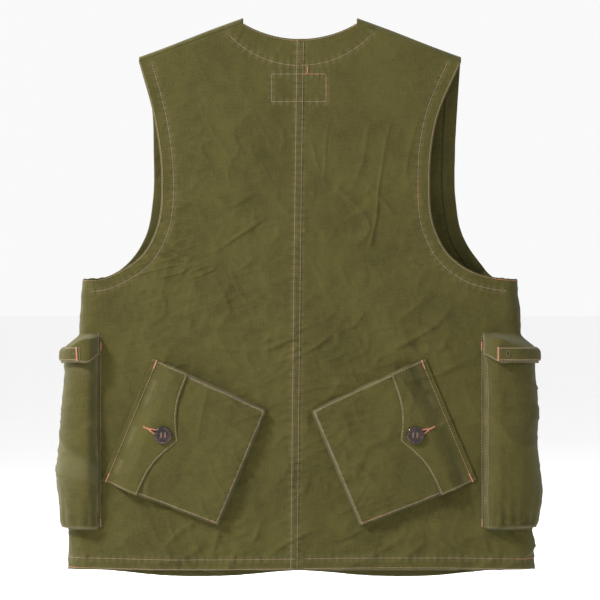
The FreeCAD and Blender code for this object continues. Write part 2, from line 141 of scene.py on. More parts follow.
def step(x, start, end):
    """0 before start, 1 after end, and a smooth S between them."""
    t = np.clip((np.asarray(x, float) - start) / (end - start), 0, 1)
    return t * t * (3 - 2 * t)


def creases(u, v, angle, long, wide, seed):
    """Sharp ridges that run at an angle: where long, stretched noise crosses zero, the cloth peaks."""
    c, s = np.cos(angle), np.sin(angle)
    along, across = u * c + v * s, v * c - u * s
    bend = 6 * noise(u / 60, v / 60, seed + 50)
    ridge = 1 - np.abs(noise(along / long, (across + bend) / wide, seed))
    where = step(noise(u / 75, v / 75, seed + 90), -0.1, 0.55)
    return ridge ** 5 * where


def crumple(u, v, seed):
    """Small unevenness of washed cloth: three sizes of noise, the finest the weakest."""
    small = 0.26 * noise(u / 7.5, v / 7, seed + 1) + 0.07 * noise(u / 3.4, v / 3.2, seed + 2)
    return 0.42 * noise(u / 17, v / 15, seed) + small


def drape(s, z):
    """Lift of the body's cloth from its surface: slow swells, aslant creases and crumple, calm at the top."""
    swell = 1.6 * noise(s / 85, z / 130, 1) + 1.3 * noise(s / 44 + z / 90, z / 60, 2)
    folds = 2.4 * creases(s, z, 0.55, 80, 26, 3) + 2.4 * creases(s, z, -0.7, 85, 28, 4)
    folds = folds + 1.8 * creases(s, z, 1.35, 110, 24, 5) + 1.5 * creases(s, z, 0.05, 60, 20, 8)
    folds = folds + 1.6 * creases(s, z, -1.1, 48, 15, 9) + 1.3 * creases(s, z, 0.35, 34, 10, 10)
    folds = folds + 1.2 * creases(s, z, -0.3, 30, 9, 11)
    calm = 0.3 + 0.7 * step(-z, 40, 260)
    return calm * (swell + folds + 1.3 * crumple(s, z, 6)) - 1.6


sample = drape(*np.meshgrid(np.linspace(-250, 250, 80), np.linspace(HEM, -20, 80)))
print(f"drape from {sample.min():.1f} to {sample.max():.1f} mm")

# %% [markdown]
# ## From a grid to a piece of cloth
# Each piece is a grid of points. The mesh also stores where every point lay in the flat cut, as a UV map in
# metres, so that the weave follows the cloth when it bends, and how worn the cloth is there.
# Real cloth has a thickness and folded edges, which the Solidify modifier gives.

# %% Mesh helpers
def new_object(name, verts, faces, material):
    """A mesh object at the origin from points in millimetres and a list or array of faces."""
    mesh = bpy.data.meshes.new(name)
    mesh.from_pydata((np.asarray(verts) * MM).tolist(), [], [list(f) for f in np.asarray(faces).tolist()])
    mesh.polygons.foreach_set("use_smooth", np.ones(len(mesh.polygons), bool))
    mesh.materials.append(material)
    obj = bpy.data.objects.new(name, mesh)
    bpy.context.scene.collection.objects.link(obj)
    return obj


def grid_faces(rows, cols, flip=False, keep=None):
    """Quads that join each point of a grid to three more; flip turns them over, keep leaves some out."""
    index = np.arange(rows * cols).reshape(rows, cols)
    corners = [index[:-1, :-1], index[:-1, 1:], index[1:, 1:], index[1:, :-1]]
    quads = np.stack(corners[::-1] if flip else corners, -1)
    return quads[keep] if keep is not None else quads.reshape(-1, 4)


def set_uv(obj, flat):
    """Writes each point's place in the flat cut, in metres, to the UV map named cut."""
    loops = np.empty(len(obj.data.loops), np.int32)
    obj.data.loops.foreach_get("vertex_index", loops)
    layer = obj.data.uv_layers.new(name="cut")
    layer.uv.foreach_set("vector", (flat.reshape(-1, 2)[loops] * MM).astype(np.float32).ravel())


def set_value(obj, name, values):
    """Writes one number per point as an attribute."""
    layer = obj.data.attributes.new(name, "FLOAT", "POINT")
    layer.data.foreach_set("value", np.asarray(values, np.float32).ravel())


def outward(points, reference):
    """Whether a grid's faces, as numbered, point away from the body's middle plane, or from a given point."""
    du = np.diff(points, axis=0)[:, :-1]
    dv = np.diff(points, axis=1)[:-1]
    normal = np.cross(dv, du)
    away = points[:-1, :-1] - reference
    return (normal * away).sum() > 0


def cloth(name, points, flat, wear=None, thick=0.9, keep=None, offset=-1.0, material=None, reference=None):
    """A piece of cloth from a grid of points, its flat cut and its wear. Returns the object."""
    rows, cols = points.shape[:2]
    middle = np.array([0, 0, 1.0]) * points if reference is None else np.asarray(reference)
    middle = middle[:-1, :-1] if np.ndim(middle) == 3 else middle
    faces = grid_faces(rows, cols, not outward(points, middle), keep)
    obj = new_object(name, points.reshape(-1, 3), faces, material or OLIVE)
    set_uv(obj, flat)
    set_value(obj, "wear", np.zeros(rows * cols) if wear is None else wear)
    solid = obj.modifiers.new("thickness", "SOLIDIFY")
    solid.thickness = thick * MM
    solid.offset = offset
    solid.use_quality_normals = True
    return obj


def flat_grid(u, v):
    """A flat grid from a row of one coordinate and a column of the other."""
    return np.stack(np.broadcast_arrays(u, v), -1)


def cut_area(flat):
    """Area of a flat grid in square millimetres: half the cross product of each cell's diagonals."""
    a = flat[1:, 1:] - flat[:-1, :-1]
    b = flat[1:, :-1] - flat[:-1, 1:]
    return np.abs(a[..., 0] * b[..., 1] - a[..., 1] * b[..., 0]).sum() / 2


def declare(flat):
    """Works out a sheet's flat size from its cut. A curved band counts as a strip, sized by its run and area.
    """
    size = np.ptp(flat.reshape(-1, 2), axis=0)
    if cut_area(flat) < 0.34 * size[0] * size[1]:
        runs = [np.linalg.norm(np.diff(flat, axis=k), axis=-1).sum(axis=k).mean() for k in (0, 1)]
        size = np.array([max(runs), cut_area(flat) / max(runs)])


def coons(top, bottom, left, right):
    """A grid between four edges: top blended to bottom, plus left to right, less the corners' blend."""
    v = np.linspace(0, 1, len(left))[:, None, None]
    u = np.linspace(0, 1, len(top))[None, :, None]
    rails = (1 - v) * top[None] + v * bottom[None] + (1 - u) * left[:, None] + u * right[:, None]
    corners = (1 - v) * ((1 - u) * top[0] + u * top[-1]) + v * ((1 - u) * bottom[0] + u * bottom[-1])
    return rails - corners


def spread(points, count):
    """A polyline's points set out again at even distances."""
    points = np.asarray(points, float)
    run = np.concatenate([[0], np.cumsum(np.linalg.norm(np.diff(points, axis=0), axis=1))])
    at = np.linspace(0, run[-1], count)
    return np.stack([np.interp(at, run, points[:, k]) for k in range(points.shape[1])], -1)


def smooth(points, count):
    """A curve through points: each stretch is a cubic that starts and ends along its neighbours' chord."""
    p = np.asarray(points, float)
    run = np.concatenate([[0], np.cumsum(np.linalg.norm(np.diff(p, axis=0), axis=1))])
    slope = np.gradient(p, run, axis=0)
    at = np.linspace(0, run[-1], count * 4)
    k = np.clip(np.searchsorted(run, at, side="right") - 1, 0, len(p) - 2)
    width = (run[k + 1] - run[k])[:, None]
    t = ((at - run[k])[:, None]) / width
    a, b = p[k], p[k + 1]
    m, n = slope[k] * width, slope[k + 1] * width
    curve = (2 * t ** 3 - 3 * t ** 2 + 1) * a + (t ** 3 - 2 * t ** 2 + t) * m
    curve = curve + (3 * t ** 2 - 2 * t ** 3) * b + (t ** 3 - t ** 2) * n
    return spread(curve, count)


def inset(curve, distance):
    """A plane curve moved sideways by a distance, to the left of the way it runs."""
    along = np.gradient(curve, axis=0)
    along = along / np.linalg.norm(along, axis=1)[:, None]
    return curve + distance * np.stack([-along[:, 1], along[:, 0]], -1)


# %% [markdown]
# ## What a row of stitches does to cloth
# Along a sewn line the thread draws the cloth down into a groove, the cloth beside it puckers, and the ridges
# rub pale. `dressing` measures how far each point is from the sewn lines, and works these out.

# %% Grooves and puckers
def nearest(points, line):
    """Distance from each plane point to a polyline, and how far along the line its nearest point is."""
    line = spread(line, max(8, int(np.linalg.norm(np.diff(line, axis=0), axis=1).sum() / 6)))
    start, leg = line[:-1], np.diff(line, axis=0)
    length = np.linalg.norm(leg, axis=1)
    run = np.concatenate([[0], np.cumsum(length)])[:-1]
    flat = points.reshape(-1, 2)
    best, along = np.full(len(flat), 1e9), np.zeros(len(flat))
    for a, d, l, r in zip(start, leg, length, run):
        t = np.clip(((flat - a) @ d) / l ** 2, 0, 1)
        gap = np.hypot(flat[:, 0] - a[0] - t * d[0], flat[:, 1] - a[1] - t * d[1])
        closer = gap < best
        best[closer], along[closer] = gap[closer], (r + t * l)[closer]
    return best.reshape(points.shape[:-1]), along.reshape(points.shape[:-1])


def dressing(u, v, lines, pucker=0.35):
    """Lift and wear beside sewn lines: a groove, ripples across it every 8 mm or so, and paler ridges."""
    u, v = np.broadcast_arrays(np.asarray(u, float), np.asarray(v, float))
    points = np.stack([u, v], -1)
    lift, wear = np.zeros(u.shape), np.zeros(u.shape)
    for number, line in enumerate(lines):
        gap, along = nearest(points, np.asarray(line, float))
        wave = np.sin(2 * np.pi * along / 8.3 + 3.5 * noise(along / 21, number * 7.7, 21))
        lift += -0.5 * np.exp(-(gap / 1.8) ** 2) + pucker * wave * np.exp(-(gap / 6.5) ** 2)
        wear = np.maximum(wear, (0.16 + 0.14 * wave) * np.exp(-((gap - 2) / 2.2) ** 2))
    return lift, np.clip(wear, 0, 1)


# %% [markdown]
# ## Real stitches
# A line of topstitching is a row of short thread arcs, each coming up from the cloth and going down again.
# A painted line would look flat from the side, so every stitch is a small mesh: five rings of five points.
# One array holds the template, and whole rows of stitches are placed at once.

# %% Stitch maker
STITCH_PITCH = 3.3
STITCH_LENGTH = 2.7
THREAD = 0.36                          # radius of the thread
STITCH_POINTS = 25                     # five rings of five points
RING = np.arange(5) * 2 * np.pi / 5
PROFILE = np.array([
    [-0.5, 0.35, -0.3], [-0.33, 0.85, 0.18], [0, 1.0, 0.34], [0.33, 0.85, 0.18], [0.5, 0.35, -0.3]])


class Thread:
    """Collects stitches for one object: their points, and how salmon rather than tan each one is."""

    def __init__(self):
        """Starts with no stitches."""
        self.points, self.tints = [], []

    def place(self, middles, alongs, normals, length, radius, tints):
        """Adds one stitch at each middle: rings along the stitch, arched towards the normal."""
        alongs = alongs / np.linalg.norm(alongs, axis=1)[:, None]
        across = np.cross(normals, alongs)
        across = across / np.linalg.norm(across, axis=1)[:, None]
        up = np.cross(alongs, across)
        at, size, rise = PROFILE.T
        ring = np.cos(RING)[None, :, None] * across[:, None, None]
        ring = ring + np.sin(RING)[None, :, None] * up[:, None, None]
        shape = middles[:, None, None] + at[None, :, None, None] * length * alongs[:, None, None]
        shape = shape + rise[None, :, None, None] * up[:, None, None] * radius * 2
        shape = shape + size[None, :, None, None] * radius * ring
        self.points.append(shape.reshape(-1, 3))
        self.tints.append(np.repeat(tints, STITCH_POINTS))

    def run(self, surface, line, tint=None, pitch=STITCH_PITCH, radius=THREAD, lift=0.1):
        """A row of stitches along a line on a surface, a function of two coordinates and a lift."""
        line = np.asarray(line, float)
        fine = spread(line, max(4, int(np.linalg.norm(np.diff(line, axis=0), axis=1).sum() / 1.5)))
        base, raised = surface(fine[:, 0], fine[:, 1], lift), surface(fine[:, 0], fine[:, 1], lift + 1.0)
        run = np.concatenate([[0], np.cumsum(np.linalg.norm(np.diff(base, axis=0), axis=1))])
        count = max(1, int(run[-1] / pitch))
        at = (np.arange(count) + 0.5) * run[-1] / count
        pick = [np.stack([np.interp(at, run, a[:, k]) for k in range(3)], -1) for a in (base, raised - base)]
        after, before = [[np.interp(at + d, run, base[:, k]) for k in range(3)] for d in (1, -1)]
        ahead = np.stack(after, -1) - np.stack(before, -1)
        if tint is None:
            patches = noise(at / 38 + run[-1], 3.3, 31)
            tint = 0.12 + 0.8 * step(patches, 0.42, 0.7)
        tints = np.broadcast_to(tint, count) + 0.1 * noise(at * 1.7, 9.1, 32)
        self.place(pick[0], ahead, pick[1], STITCH_LENGTH * pitch / STITCH_PITCH, radius, tints)

    def satin(self, surface, line, width, tint=1.0, pitch=0.62, lift=0.35, radius=0.33):
        """A bar of threads laid side by side across a line, as on a bar tack or round a buttonhole."""
        line = np.asarray(line, float)
        length = np.linalg.norm(np.diff(line, axis=0), axis=1).sum()
        fine = spread(line, max(3, int(length / pitch)))
        side = inset(fine, 0.5) - inset(fine, -0.5)
        middles = surface(fine[:, 0], fine[:, 1], lift)
        normals = surface(fine[:, 0], fine[:, 1], lift + 1.0) - middles
        ends = surface(fine[:, 0] + side[:, 0], fine[:, 1] + side[:, 1], lift) - middles
        tints = tint + 0.12 * noise(np.arange(len(fine)) * 0.9, 1.7, 33)
        self.place(middles, ends, normals, width, radius, tints)

    def build(self, name, body, material=None, between=None):
        """One object of all the stitches so far, riding on a body, or left where it is when between is given.
        """
        points = np.concatenate(self.points)
        count = len(points) // STITCH_POINTS
        k, j = np.meshgrid(np.arange(4), np.arange(5), indexing="ij")
        quad = [k * 5 + j, k * 5 + (j + 1) % 5, (k + 1) * 5 + (j + 1) % 5, (k + 1) * 5 + j]
        quad = np.stack(quad, -1).reshape(-1, 4)
        quads = (np.arange(count)[:, None, None] * STITCH_POINTS + quad[None]).reshape(-1, 4)
        ends = np.array([[4, 3, 2, 1, 0], [20, 21, 22, 23, 24]])
        caps = (np.arange(count)[:, None, None] * STITCH_POINTS + ends[None]).reshape(-1, 5)
        obj = new_object(name, points, np.zeros((0, 4), int), material or THREADS)
        obj.data.clear_geometry()
        obj.data.from_pydata((points * MM).tolist(), [], quads.tolist() + caps.tolist())
        obj.data.polygons.foreach_set("use_smooth", np.ones(len(obj.data.polygons), bool))
        set_value(obj, "tint", np.concatenate(self.tints))
        if between:
            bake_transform(obj)
        else:
            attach(obj, body)
        print(f"{name}: {count} stitches")
        return obj

# %% [markdown]
# ## Finishes
# The cloth is a dense plain cotton weave, dyed olive and washed. Close up it shows crossing threads, from
# further off a mottled tone, and along its seams and pucker ridges it has rubbed pale. On the side pockets the
# crease ridges are painted paler as well, partly as rubbed wear and partly as a painted highlight.
# The weave and the mottling are a node group, because every layer of cloth uses them with its own colour.
# It reads the flat cut, so the weave turns with each piece.

# %% Node helpers
def link(tree, start, end):
    """Joins an output socket to an input socket."""
    tree.links.new(start, end)


def node(tree, kind, **settings):
    """A new node with some of its properties set."""
    made = tree.nodes.new(kind)
    for key, value in settings.items():
        setattr(made, key, value)
    return made


def sized_noise(tree, vector, scale, detail=2.0, rough=0.5):
    """A noise texture of a given scale, its factor output."""
    made = node(tree, "ShaderNodeTexNoise")
    made.inputs["Scale"].default_value = scale
    made.inputs["Detail"].default_value = detail
    made.inputs["Roughness"].default_value = rough
    link(tree, vector, made.inputs["Vector"])
    return made.outputs["Fac"]


def maths(tree, operation, first, second):
    """A Math node; each input is a socket or a number."""
    made = node(tree, "ShaderNodeMath", operation=operation)
    for socket, value in zip(made.inputs, (first, second)):
        if isinstance(value, (int, float)):
            socket.default_value = value
        else:
            link(tree, value, socket)
    return made.outputs[0]


def blend_colour(tree, share, first, second):
    """A Mix node for colours; each colour is a socket or four numbers."""
    made = node(tree, "ShaderNodeMix", data_type="RGBA")
    link(tree, share, made.inputs["Factor"])
    for socket, value in zip((made.inputs[6], made.inputs[7]), (first, second)):
        if isinstance(value, tuple):
            socket.default_value = value
        else:
            link(tree, value, socket)
    return made.outputs[2]


# %% Weave group
def weave_group():
    """Height and tone of a plain weave: ribs at right angles, uneven slubs, and broad mottling."""
    tree = bpy.data.node_groups.new("cotton_weave", "ShaderNodeTree")
    tree.interface.new_socket("Cut", in_out="INPUT", socket_type="NodeSocketVector")
    tree.interface.new_socket("Height", in_out="OUTPUT", socket_type="NodeSocketFloat")
    tree.interface.new_socket("Tone", in_out="OUTPUT", socket_type="NodeSocketFloat")
    start, end = node(tree, "NodeGroupInput"), node(tree, "NodeGroupOutput")
    cut = start.outputs["Cut"]
    ribs = []
    for direction in ("X", "Y"):
        wave = node(tree, "ShaderNodeTexWave", bands_direction=direction)
        wave.inputs["Scale"].default_value = 430.0
        wave.inputs["Distortion"].default_value = 1.6
        wave.inputs["Detail Scale"].default_value = 0.6
        link(tree, cut, wave.inputs["Vector"])
        ribs.append(wave.outputs["Fac"])
    threads = maths(tree, "MULTIPLY", ribs[0], ribs[1])
    slubs = []
    for stretch in ((60, 900, 1), (900, 60, 1)):
        mapping = node(tree, "ShaderNodeMapping")
        mapping.inputs["Scale"].default_value = stretch
        link(tree, cut, mapping.inputs["Vector"])
        slubs.append(sized_noise(tree, mapping.outputs[0], 1.0, 2.0))
    slub = maths(tree, "ADD", slubs[0], slubs[1])
    grain = sized_noise(tree, cut, 420.0, 3.0, 0.6)
    crease = sized_noise(tree, cut, 60.0, 4.0, 0.6)
    height = maths(tree, "MULTIPLY", threads, 0.3)
    height = maths(tree, "ADD", height, maths(tree, "MULTIPLY", slub, 0.5))
    height = maths(tree, "ADD", height, maths(tree, "MULTIPLY", grain, 0.6))
    height = maths(tree, "ADD", height, maths(tree, "MULTIPLY", crease, 3.6))
    mottle = sized_noise(tree, cut, 14.0, 3.0, 0.55)
    patch = sized_noise(tree, cut, 75.0, 4.0, 0.65)
    tone = maths(tree, "ADD", maths(tree, "MULTIPLY", mottle, 0.36), maths(tree, "MULTIPLY", slub, 0.2))
    tone = maths(tree, "ADD", tone, maths(tree, "MULTIPLY", grain, 0.26))
    tone = maths(tree, "ADD", tone, maths(tree, "MULTIPLY", patch, 0.2))
    link(tree, height, end.inputs["Height"])
    link(tree, tone, end.inputs["Tone"])
    return tree


WEAVE = weave_group()


def principled(name):
    """A new material: its tree and its shader."""
    material = bpy.data.materials.new(name)
    material.use_nodes = True
    tree = material.node_tree
    return material, tree, tree.nodes["Principled BSDF"]


# %% Cloth
def cloth_finish(name, dark, light, pale):
    """Cotton: tone blends dark to light, wear blends that to pale, and the weave's height bumps it. On the side
    pockets the wear also holds a painted highlight on the crease ridges.
    """
    material, tree, shader = principled(name)
    uv = node(tree, "ShaderNodeUVMap", uv_map="cut")
    weave = node(tree, "ShaderNodeGroup", node_tree=WEAVE)
    link(tree, uv.outputs[0], weave.inputs["Cut"])
    tone = node(tree, "ShaderNodeMapRange")
    tone.inputs["From Min"].default_value = 0.43
    tone.inputs["From Max"].default_value = 0.66
    link(tree, weave.outputs["Tone"], tone.inputs["Value"])
    colour = blend_colour(tree, tone.outputs[0], dark, light)
    wear = node(tree, "ShaderNodeAttribute", attribute_name="wear")
    rubbed = maths(tree, "MULTIPLY", wear.outputs["Fac"], 0.75)
    colour = blend_colour(tree, rubbed, colour, pale)
    link(tree, colour, shader.inputs["Base Color"])
    bump = node(tree, "ShaderNodeBump")
    bump.inputs["Strength"].default_value = 0.55
    bump.inputs["Distance"].default_value = 0.0006
    link(tree, weave.outputs["Height"], bump.inputs["Height"])
    link(tree, bump.outputs[0], shader.inputs["Normal"])
    shader.inputs["Roughness"].default_value = 0.92
    shader.inputs["Specular IOR Level"].default_value = 0.1
    shader.inputs["Sheen Weight"].default_value = 0.06
    shader.inputs["Sheen Roughness"].default_value = 0.6
    return material


OLIVE = cloth_finish(
    "olive_cotton", (0.0235, 0.0205, 0.0033, 1), (0.044, 0.0388, 0.0072, 1), (0.100, 0.088, 0.046, 1))
INSIDE = cloth_finish(
    "olive_cotton_inside", (0.026, 0.023, 0.0045, 1), (0.043, 0.038, 0.0085, 1), (0.09, 0.08, 0.043, 1))
TAPE = cloth_finish("woven_label", (0.06, 0.055, 0.024, 1), (0.09, 0.083, 0.04, 1), (0.14, 0.125, 0.08, 1))

# %% [markdown]
# Sewing thread is twisted from two plies, which a fine slanted ripple shows. Most of it has faded to tan and
# parts are still salmon, so each stitch carries its own tint.
# The buttons are polished plastic, marbled from near black to brown, and glossy.

# %% Thread and buttons
def thread_finish(name, tan, salmon):
    """Thread: tint blends tan to salmon, and a fine ripple bumps it."""
    material, tree, shader = principled(name)
    tint = node(tree, "ShaderNodeAttribute", attribute_name="tint")
    place = node(tree, "ShaderNodeTexCoord")
    colour = blend_colour(tree, tint.outputs["Fac"], tan, salmon)
    fleck = sized_noise(tree, place.outputs["Object"], 900.0, 2.0)
    dirty = blend_colour(tree, maths(tree, "MULTIPLY", fleck, 0.45), colour, (0.10, 0.075, 0.05, 1))
    link(tree, dirty, shader.inputs["Base Color"])
    bump = node(tree, "ShaderNodeBump")
    bump.inputs["Strength"].default_value = 0.5
    bump.inputs["Distance"].default_value = 0.0002
    link(tree, sized_noise(tree, place.outputs["Object"], 2600.0, 1.0), bump.inputs["Height"])
    link(tree, bump.outputs[0], shader.inputs["Normal"])
    shader.inputs["Roughness"].default_value = 0.7
    shader.inputs["Specular IOR Level"].default_value = 0.3
    return material


THREADS = thread_finish("sewing_thread", (0.20, 0.15, 0.095, 1), (0.40, 0.155, 0.095, 1))
SHANK = thread_finish("button_thread", (0.10, 0.055, 0.035, 1), (0.25, 0.10, 0.06, 1))
OLIVE_THREAD = thread_finish("olive_thread", (0.06, 0.053, 0.02, 1), (0.08, 0.07, 0.03, 1))


def button_finish():
    """Marbled plastic: twisted noise blends near black to brown, with a gloss coat and faint scratches."""
    material, tree, shader = principled("marbled_button")
    place = node(tree, "ShaderNodeTexCoord")
    marble = node(tree, "ShaderNodeTexNoise")
    marble.inputs["Scale"].default_value = 120.0
    marble.inputs["Detail"].default_value = 5.0
    marble.inputs["Distortion"].default_value = 2.4
    link(tree, place.outputs["Object"], marble.inputs["Vector"])
    ramp = node(tree, "ShaderNodeValToRGB")
    ramp.color_ramp.elements[0].position = 0.38
    ramp.color_ramp.elements[0].color = (0.004, 0.003, 0.003, 1)
    ramp.color_ramp.elements[1].position = 0.72
    ramp.color_ramp.elements[1].color = (0.045, 0.022, 0.014, 1)
    link(tree, marble.outputs["Fac"], ramp.inputs["Fac"])
    link(tree, ramp.outputs["Color"], shader.inputs["Base Color"])
    scratch = sized_noise(tree, place.outputs["Object"], 700.0, 3.0)
    rough = node(tree, "ShaderNodeMapRange")
    rough.inputs["To Min"].default_value = 0.07
    rough.inputs["To Max"].default_value = 0.2
    link(tree, scratch, rough.inputs["Value"])
    link(tree, rough.outputs[0], shader.inputs["Roughness"])
    shader.inputs["Specular IOR Level"].default_value = 0.4
    shader.inputs["Coat Weight"].default_value = 0.15
    shader.inputs["Coat Roughness"].default_value = 0.05
    return material


BUTTON = button_finish()
for name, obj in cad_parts.items():
    if "button" in name and name != "button_stand":
        finish = SHANK if "thread" in name else BUTTON
        for part in obj.material_slots:
            part.material = finish
print("materials:", sorted(m.name for m in bpy.data.materials if m.users))

# %% [markdown]
# ## The back
# A vest's back is cut in two halves that meet in a felled seam: one edge is folded over the other and held by
# two rows of stitches. Each half runs from that seam to the fold of the body's side.
# It could be a cut-out plate, but the neck, armhole and hem would then be stepped. Instead each half is a grid
# stretched between its four edges, so that the mesh's last row is the edge itself.

# %% Edges of the back and front
SHIFT = 5.0                             # how far the layers slid apart: back left, front right
BACK_ARMHOLE = [(163.0, -112.0), (155.0, -180.0), (160.0, -235.0), (176.0, -266.0), (205.0, -287.0)]
FRONT_ARMHOLE = [(178.0, -90.0), (175.0, -148.0), (176.0, -205.0), (184.0, -245.0), (203.0, -275.0)]
NECK_DROP = 18.4
NECK_RADIUS = (NECK_HALF ** 2 + NECK_DROP ** 2) / (2 * NECK_DROP)
FACING_DROP = 49.0
FACING_RADIUS = 112.8
FACING_WIDTH = 14.0
HEM_WIDTH = 13.0
EDGE_STITCH = 1.7
LAP = 15.0
V_NECK = -200.0


def armhole(side, facing):
    """Edge of an armhole from the shoulder's tip to the side fold, as distance from the centre, and height."""
    inner = BACK_ARMHOLE if facing < 0 else FRONT_ARMHOLE
    moved = [(x + side * facing * SHIFT, z) for x, z in inner]
    corner = (half_round(UNDERARM) / 2, UNDERARM)
    return smooth([(TIP_X, TIP_Z)] + moved + [(225.0, UNDERARM + 2.5), corner], 90)


def back_neck(x):
    """Height of the back neck edge: an arc that drops from both shoulders."""
    return NECK_RADIUS - NECK_DROP - np.sqrt(NECK_RADIUS ** 2 - np.minimum(np.abs(x), NECK_HALF) ** 2)


def centre_seam(z):
    """Sideways place of the centre back seam: it wanders a little to the left on its way down."""
    return 1.0 - 8.0 * np.clip(z / HEM, 0, 1) ** 0.8


def side_edge(top, bottom, count):
    """The fold at the body's side, from one height to another."""
    z = np.linspace(top, bottom, count)
    return np.stack([half_round(z) / 2, z], -1)


def join_lines(*lines):
    """Several polylines end to end, without the points they share."""
    return np.concatenate([lines[0]] + [line[1:] for line in lines[1:]])


SHOULDER = np.array([(NECK_HALF, 0.0), (TIP_X, TIP_Z)])
SEAM_HALF = 3.6                         # from the felled seam's middle to each row of its stitches

# %% Sewn lines of the back
neck_x = np.linspace(-NECK_HALF, NECK_HALF, 50)
neck_edge = np.stack([neck_x, back_neck(neck_x)], -1)
facing_x = np.linspace(-88, 88, 60)
neck_facing_z = FACING_RADIUS - FACING_DROP - np.sqrt(FACING_RADIUS ** 2 - facing_x ** 2)
neck_facing_line = np.stack([facing_x, neck_facing_z], -1)
seam_z = np.linspace(-NECK_DROP - 3, HEM + 1, 60)
seam_lines = [np.stack([centre_seam(seam_z) + k * SEAM_HALF, seam_z], -1) for k in (-1, 1)]
hem_s = np.linspace(-half_round(HEM) / 2, half_round(HEM) / 2, 60)
hem_line = np.stack([hem_s, HEM + HEM_WIDTH + 1.2 * np.sin(hem_s / 70)], -1)
LABEL = (-33.0, 30.0, -91.0, -59.0)
x0, x1, z0, z1 = LABEL
label_line = np.array([(x0, z1), (x0, z0), (x1, z0), (x1, z1), (x0, z1)])
facing_lines = {}
for name, side in SIDES.items():
    line = inset(armhole(side, -1), -FACING_WIDTH)
    facing_lines[name] = line[line[:, 0] < 240][2:] * [side, 1]
back_lines = {
    name: [neck_facing_line, *seam_lines, hem_line, label_line, facing_lines[name]] for name in SIDES}
BUTTON_SPOTS = [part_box(n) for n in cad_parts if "button_" in n and "thread" not in n and "front" not in n
                and n != "button_stand"]


def hush(s, z):
    """Share of the drape that is left: less under buttons, which are fixed, and at the buttoned edge."""
    share = np.ones(np.broadcast(s, z).shape)
    for low, high in BUTTON_SPOTS:
        x, height = (low[0] + high[0]) / 2 / MM, (low[2] + high[2]) / 2 / MM
        at = x if low[1] < 0 else np.sign(x) * (half_round(height) - abs(x))
        share = share * (1 - 0.8 * np.exp(-((s - at) ** 2 + (z - height) ** 2) / 60 ** 2))
    return share * (1 - 0.85 * (1 - step(half_round(z) - np.abs(s), 20, 60)))


def body_drape(s, z):
    """The drape with its quiet places."""
    return drape(s, z) * hush(s, z)


def back_skin(name):
    """Surface of one half of the back, with its seam's ridge and its sewn lines."""
    def skin(s, z, lift=0.0):
        """Point at distance s round, height z and lift."""
        groove, _ = dressing(s, z, back_lines[name])
        ridge = 0.8 * (1 - step(np.abs(s - centre_seam(z)), SEAM_HALF, SEAM_HALF + 1.2))
        return around(s, z, lift + body_drape(s, z) + groove + ridge)
    return skin


# %% Back halves
ROWS, COLUMNS = 310, 128
for name, side in SIDES.items():
    inner = centre_seam(HEM) * side
    top_x = np.linspace(centre_seam(-NECK_DROP) * side - 4 * (side > 0), NECK_HALF, 40)
    top = spread(join_lines(np.stack([top_x, back_neck(top_x)], -1), SHOULDER), COLUMNS)
    outer = spread(join_lines(armhole(side, -1), side_edge(UNDERARM, HEM, 60)), ROWS)
    seam_edge = np.linspace(back_neck(top_x[0]), HEM, ROWS)
    seam_edge = np.stack([centre_seam(seam_edge) * side - 4 * (side > 0), seam_edge], -1)
    bottom = spread(np.array([seam_edge[-1], outer[-1]]), COLUMNS)
    flat = coons(top, bottom, seam_edge, outer) * [side, 1]
    _, wear = dressing(flat[..., 0], flat[..., 1], back_lines[name])
    edge = np.minimum(np.linspace(0, 1, COLUMNS)[::-1] * 250, 9)[None]
    above = step(flat[..., 1], UNDERARM - 8, UNDERARM + 4)
    wear = np.maximum(wear, np.exp(-edge / 1.3) * above)
    wear = np.maximum(wear, 0.8 * np.exp(-np.arange(ROWS)[::-1] * 2.0 / 1.5)[:, None])
    points = back_skin(name)(flat[..., 0], flat[..., 1])
    back = cloth(f"back_cloth_{name}", points, flat, wear)
    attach(back, "vest")
    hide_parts(f"back_panel_{name}", f"side_panel_{name}")
    declare(flat)

# %% Topstitching of the back
thread = Thread()
for name, side in SIDES.items():
    skin = back_skin(name)
    edge = armhole(side, -1)
    thread.run(skin, inset(edge, -EDGE_STITCH)[1:] * [side, 1])
    thread.run(skin, facing_lines[name])
    half = neck_edge[neck_edge[:, 0] * side >= 0]
    thread.run(skin, half - [0, EDGE_STITCH])
    half = neck_facing_line[neck_facing_line[:, 0] * side >= 0]
    thread.run(skin, half[(half[:, 1] < -12)])
    half = hem_line[hem_line[:, 0] * side >= 0]
    thread.run(skin, half)
    thread.run(skin, half - [0, HEM_WIDTH - EDGE_STITCH])
right_skin = back_skin("right")
for line in seam_lines:
    thread.run(right_skin, line)
thread.run(right_skin, label_line[:4])
thread.run(right_skin, label_line[3:], tint=0.05)
thread.run(right_skin, np.array([(2.0, LABEL[3]), (LABEL[1], LABEL[3])]), tint=1.0, lift=0.4)
thread.satin(right_skin, np.array([(8.6, -51.0), (8.6, -59.0)]), 1.6)
thread.build("back_topstitching", "vest")

# %% [markdown]
# ## The two fronts
# Each front is one piece from the side fold to the opening, cut away at the armhole and along the V of the
# neck. The left one laps over the right one, so that the buttons can close it.
# Both could be one mesh with the back, but they open like doors, so each front is a piece of its own.

# %% Outlines of a front
FOLD = 66.0
FRONT_MIDDLE = -634.0
PLACKET_INNER = 21.0                    # the placket's inner edge, from the centre front


def neck_v(count):
    """The V edge, then the opening's edge: distance from the centre front, positive on its own side."""
    bend = [(FOLD, 0.0), (44.0, -62.0), (21.5, -134.0), (1.0, -196.0), (-6.0, V_NECK - 3), (-LAP, V_NECK - 5)]
    v_edge = smooth(bend, 60)
    return spread(join_lines(v_edge, np.array([(-LAP, V_NECK - 5), (-LAP, FRONT_MIDDLE)])), count)


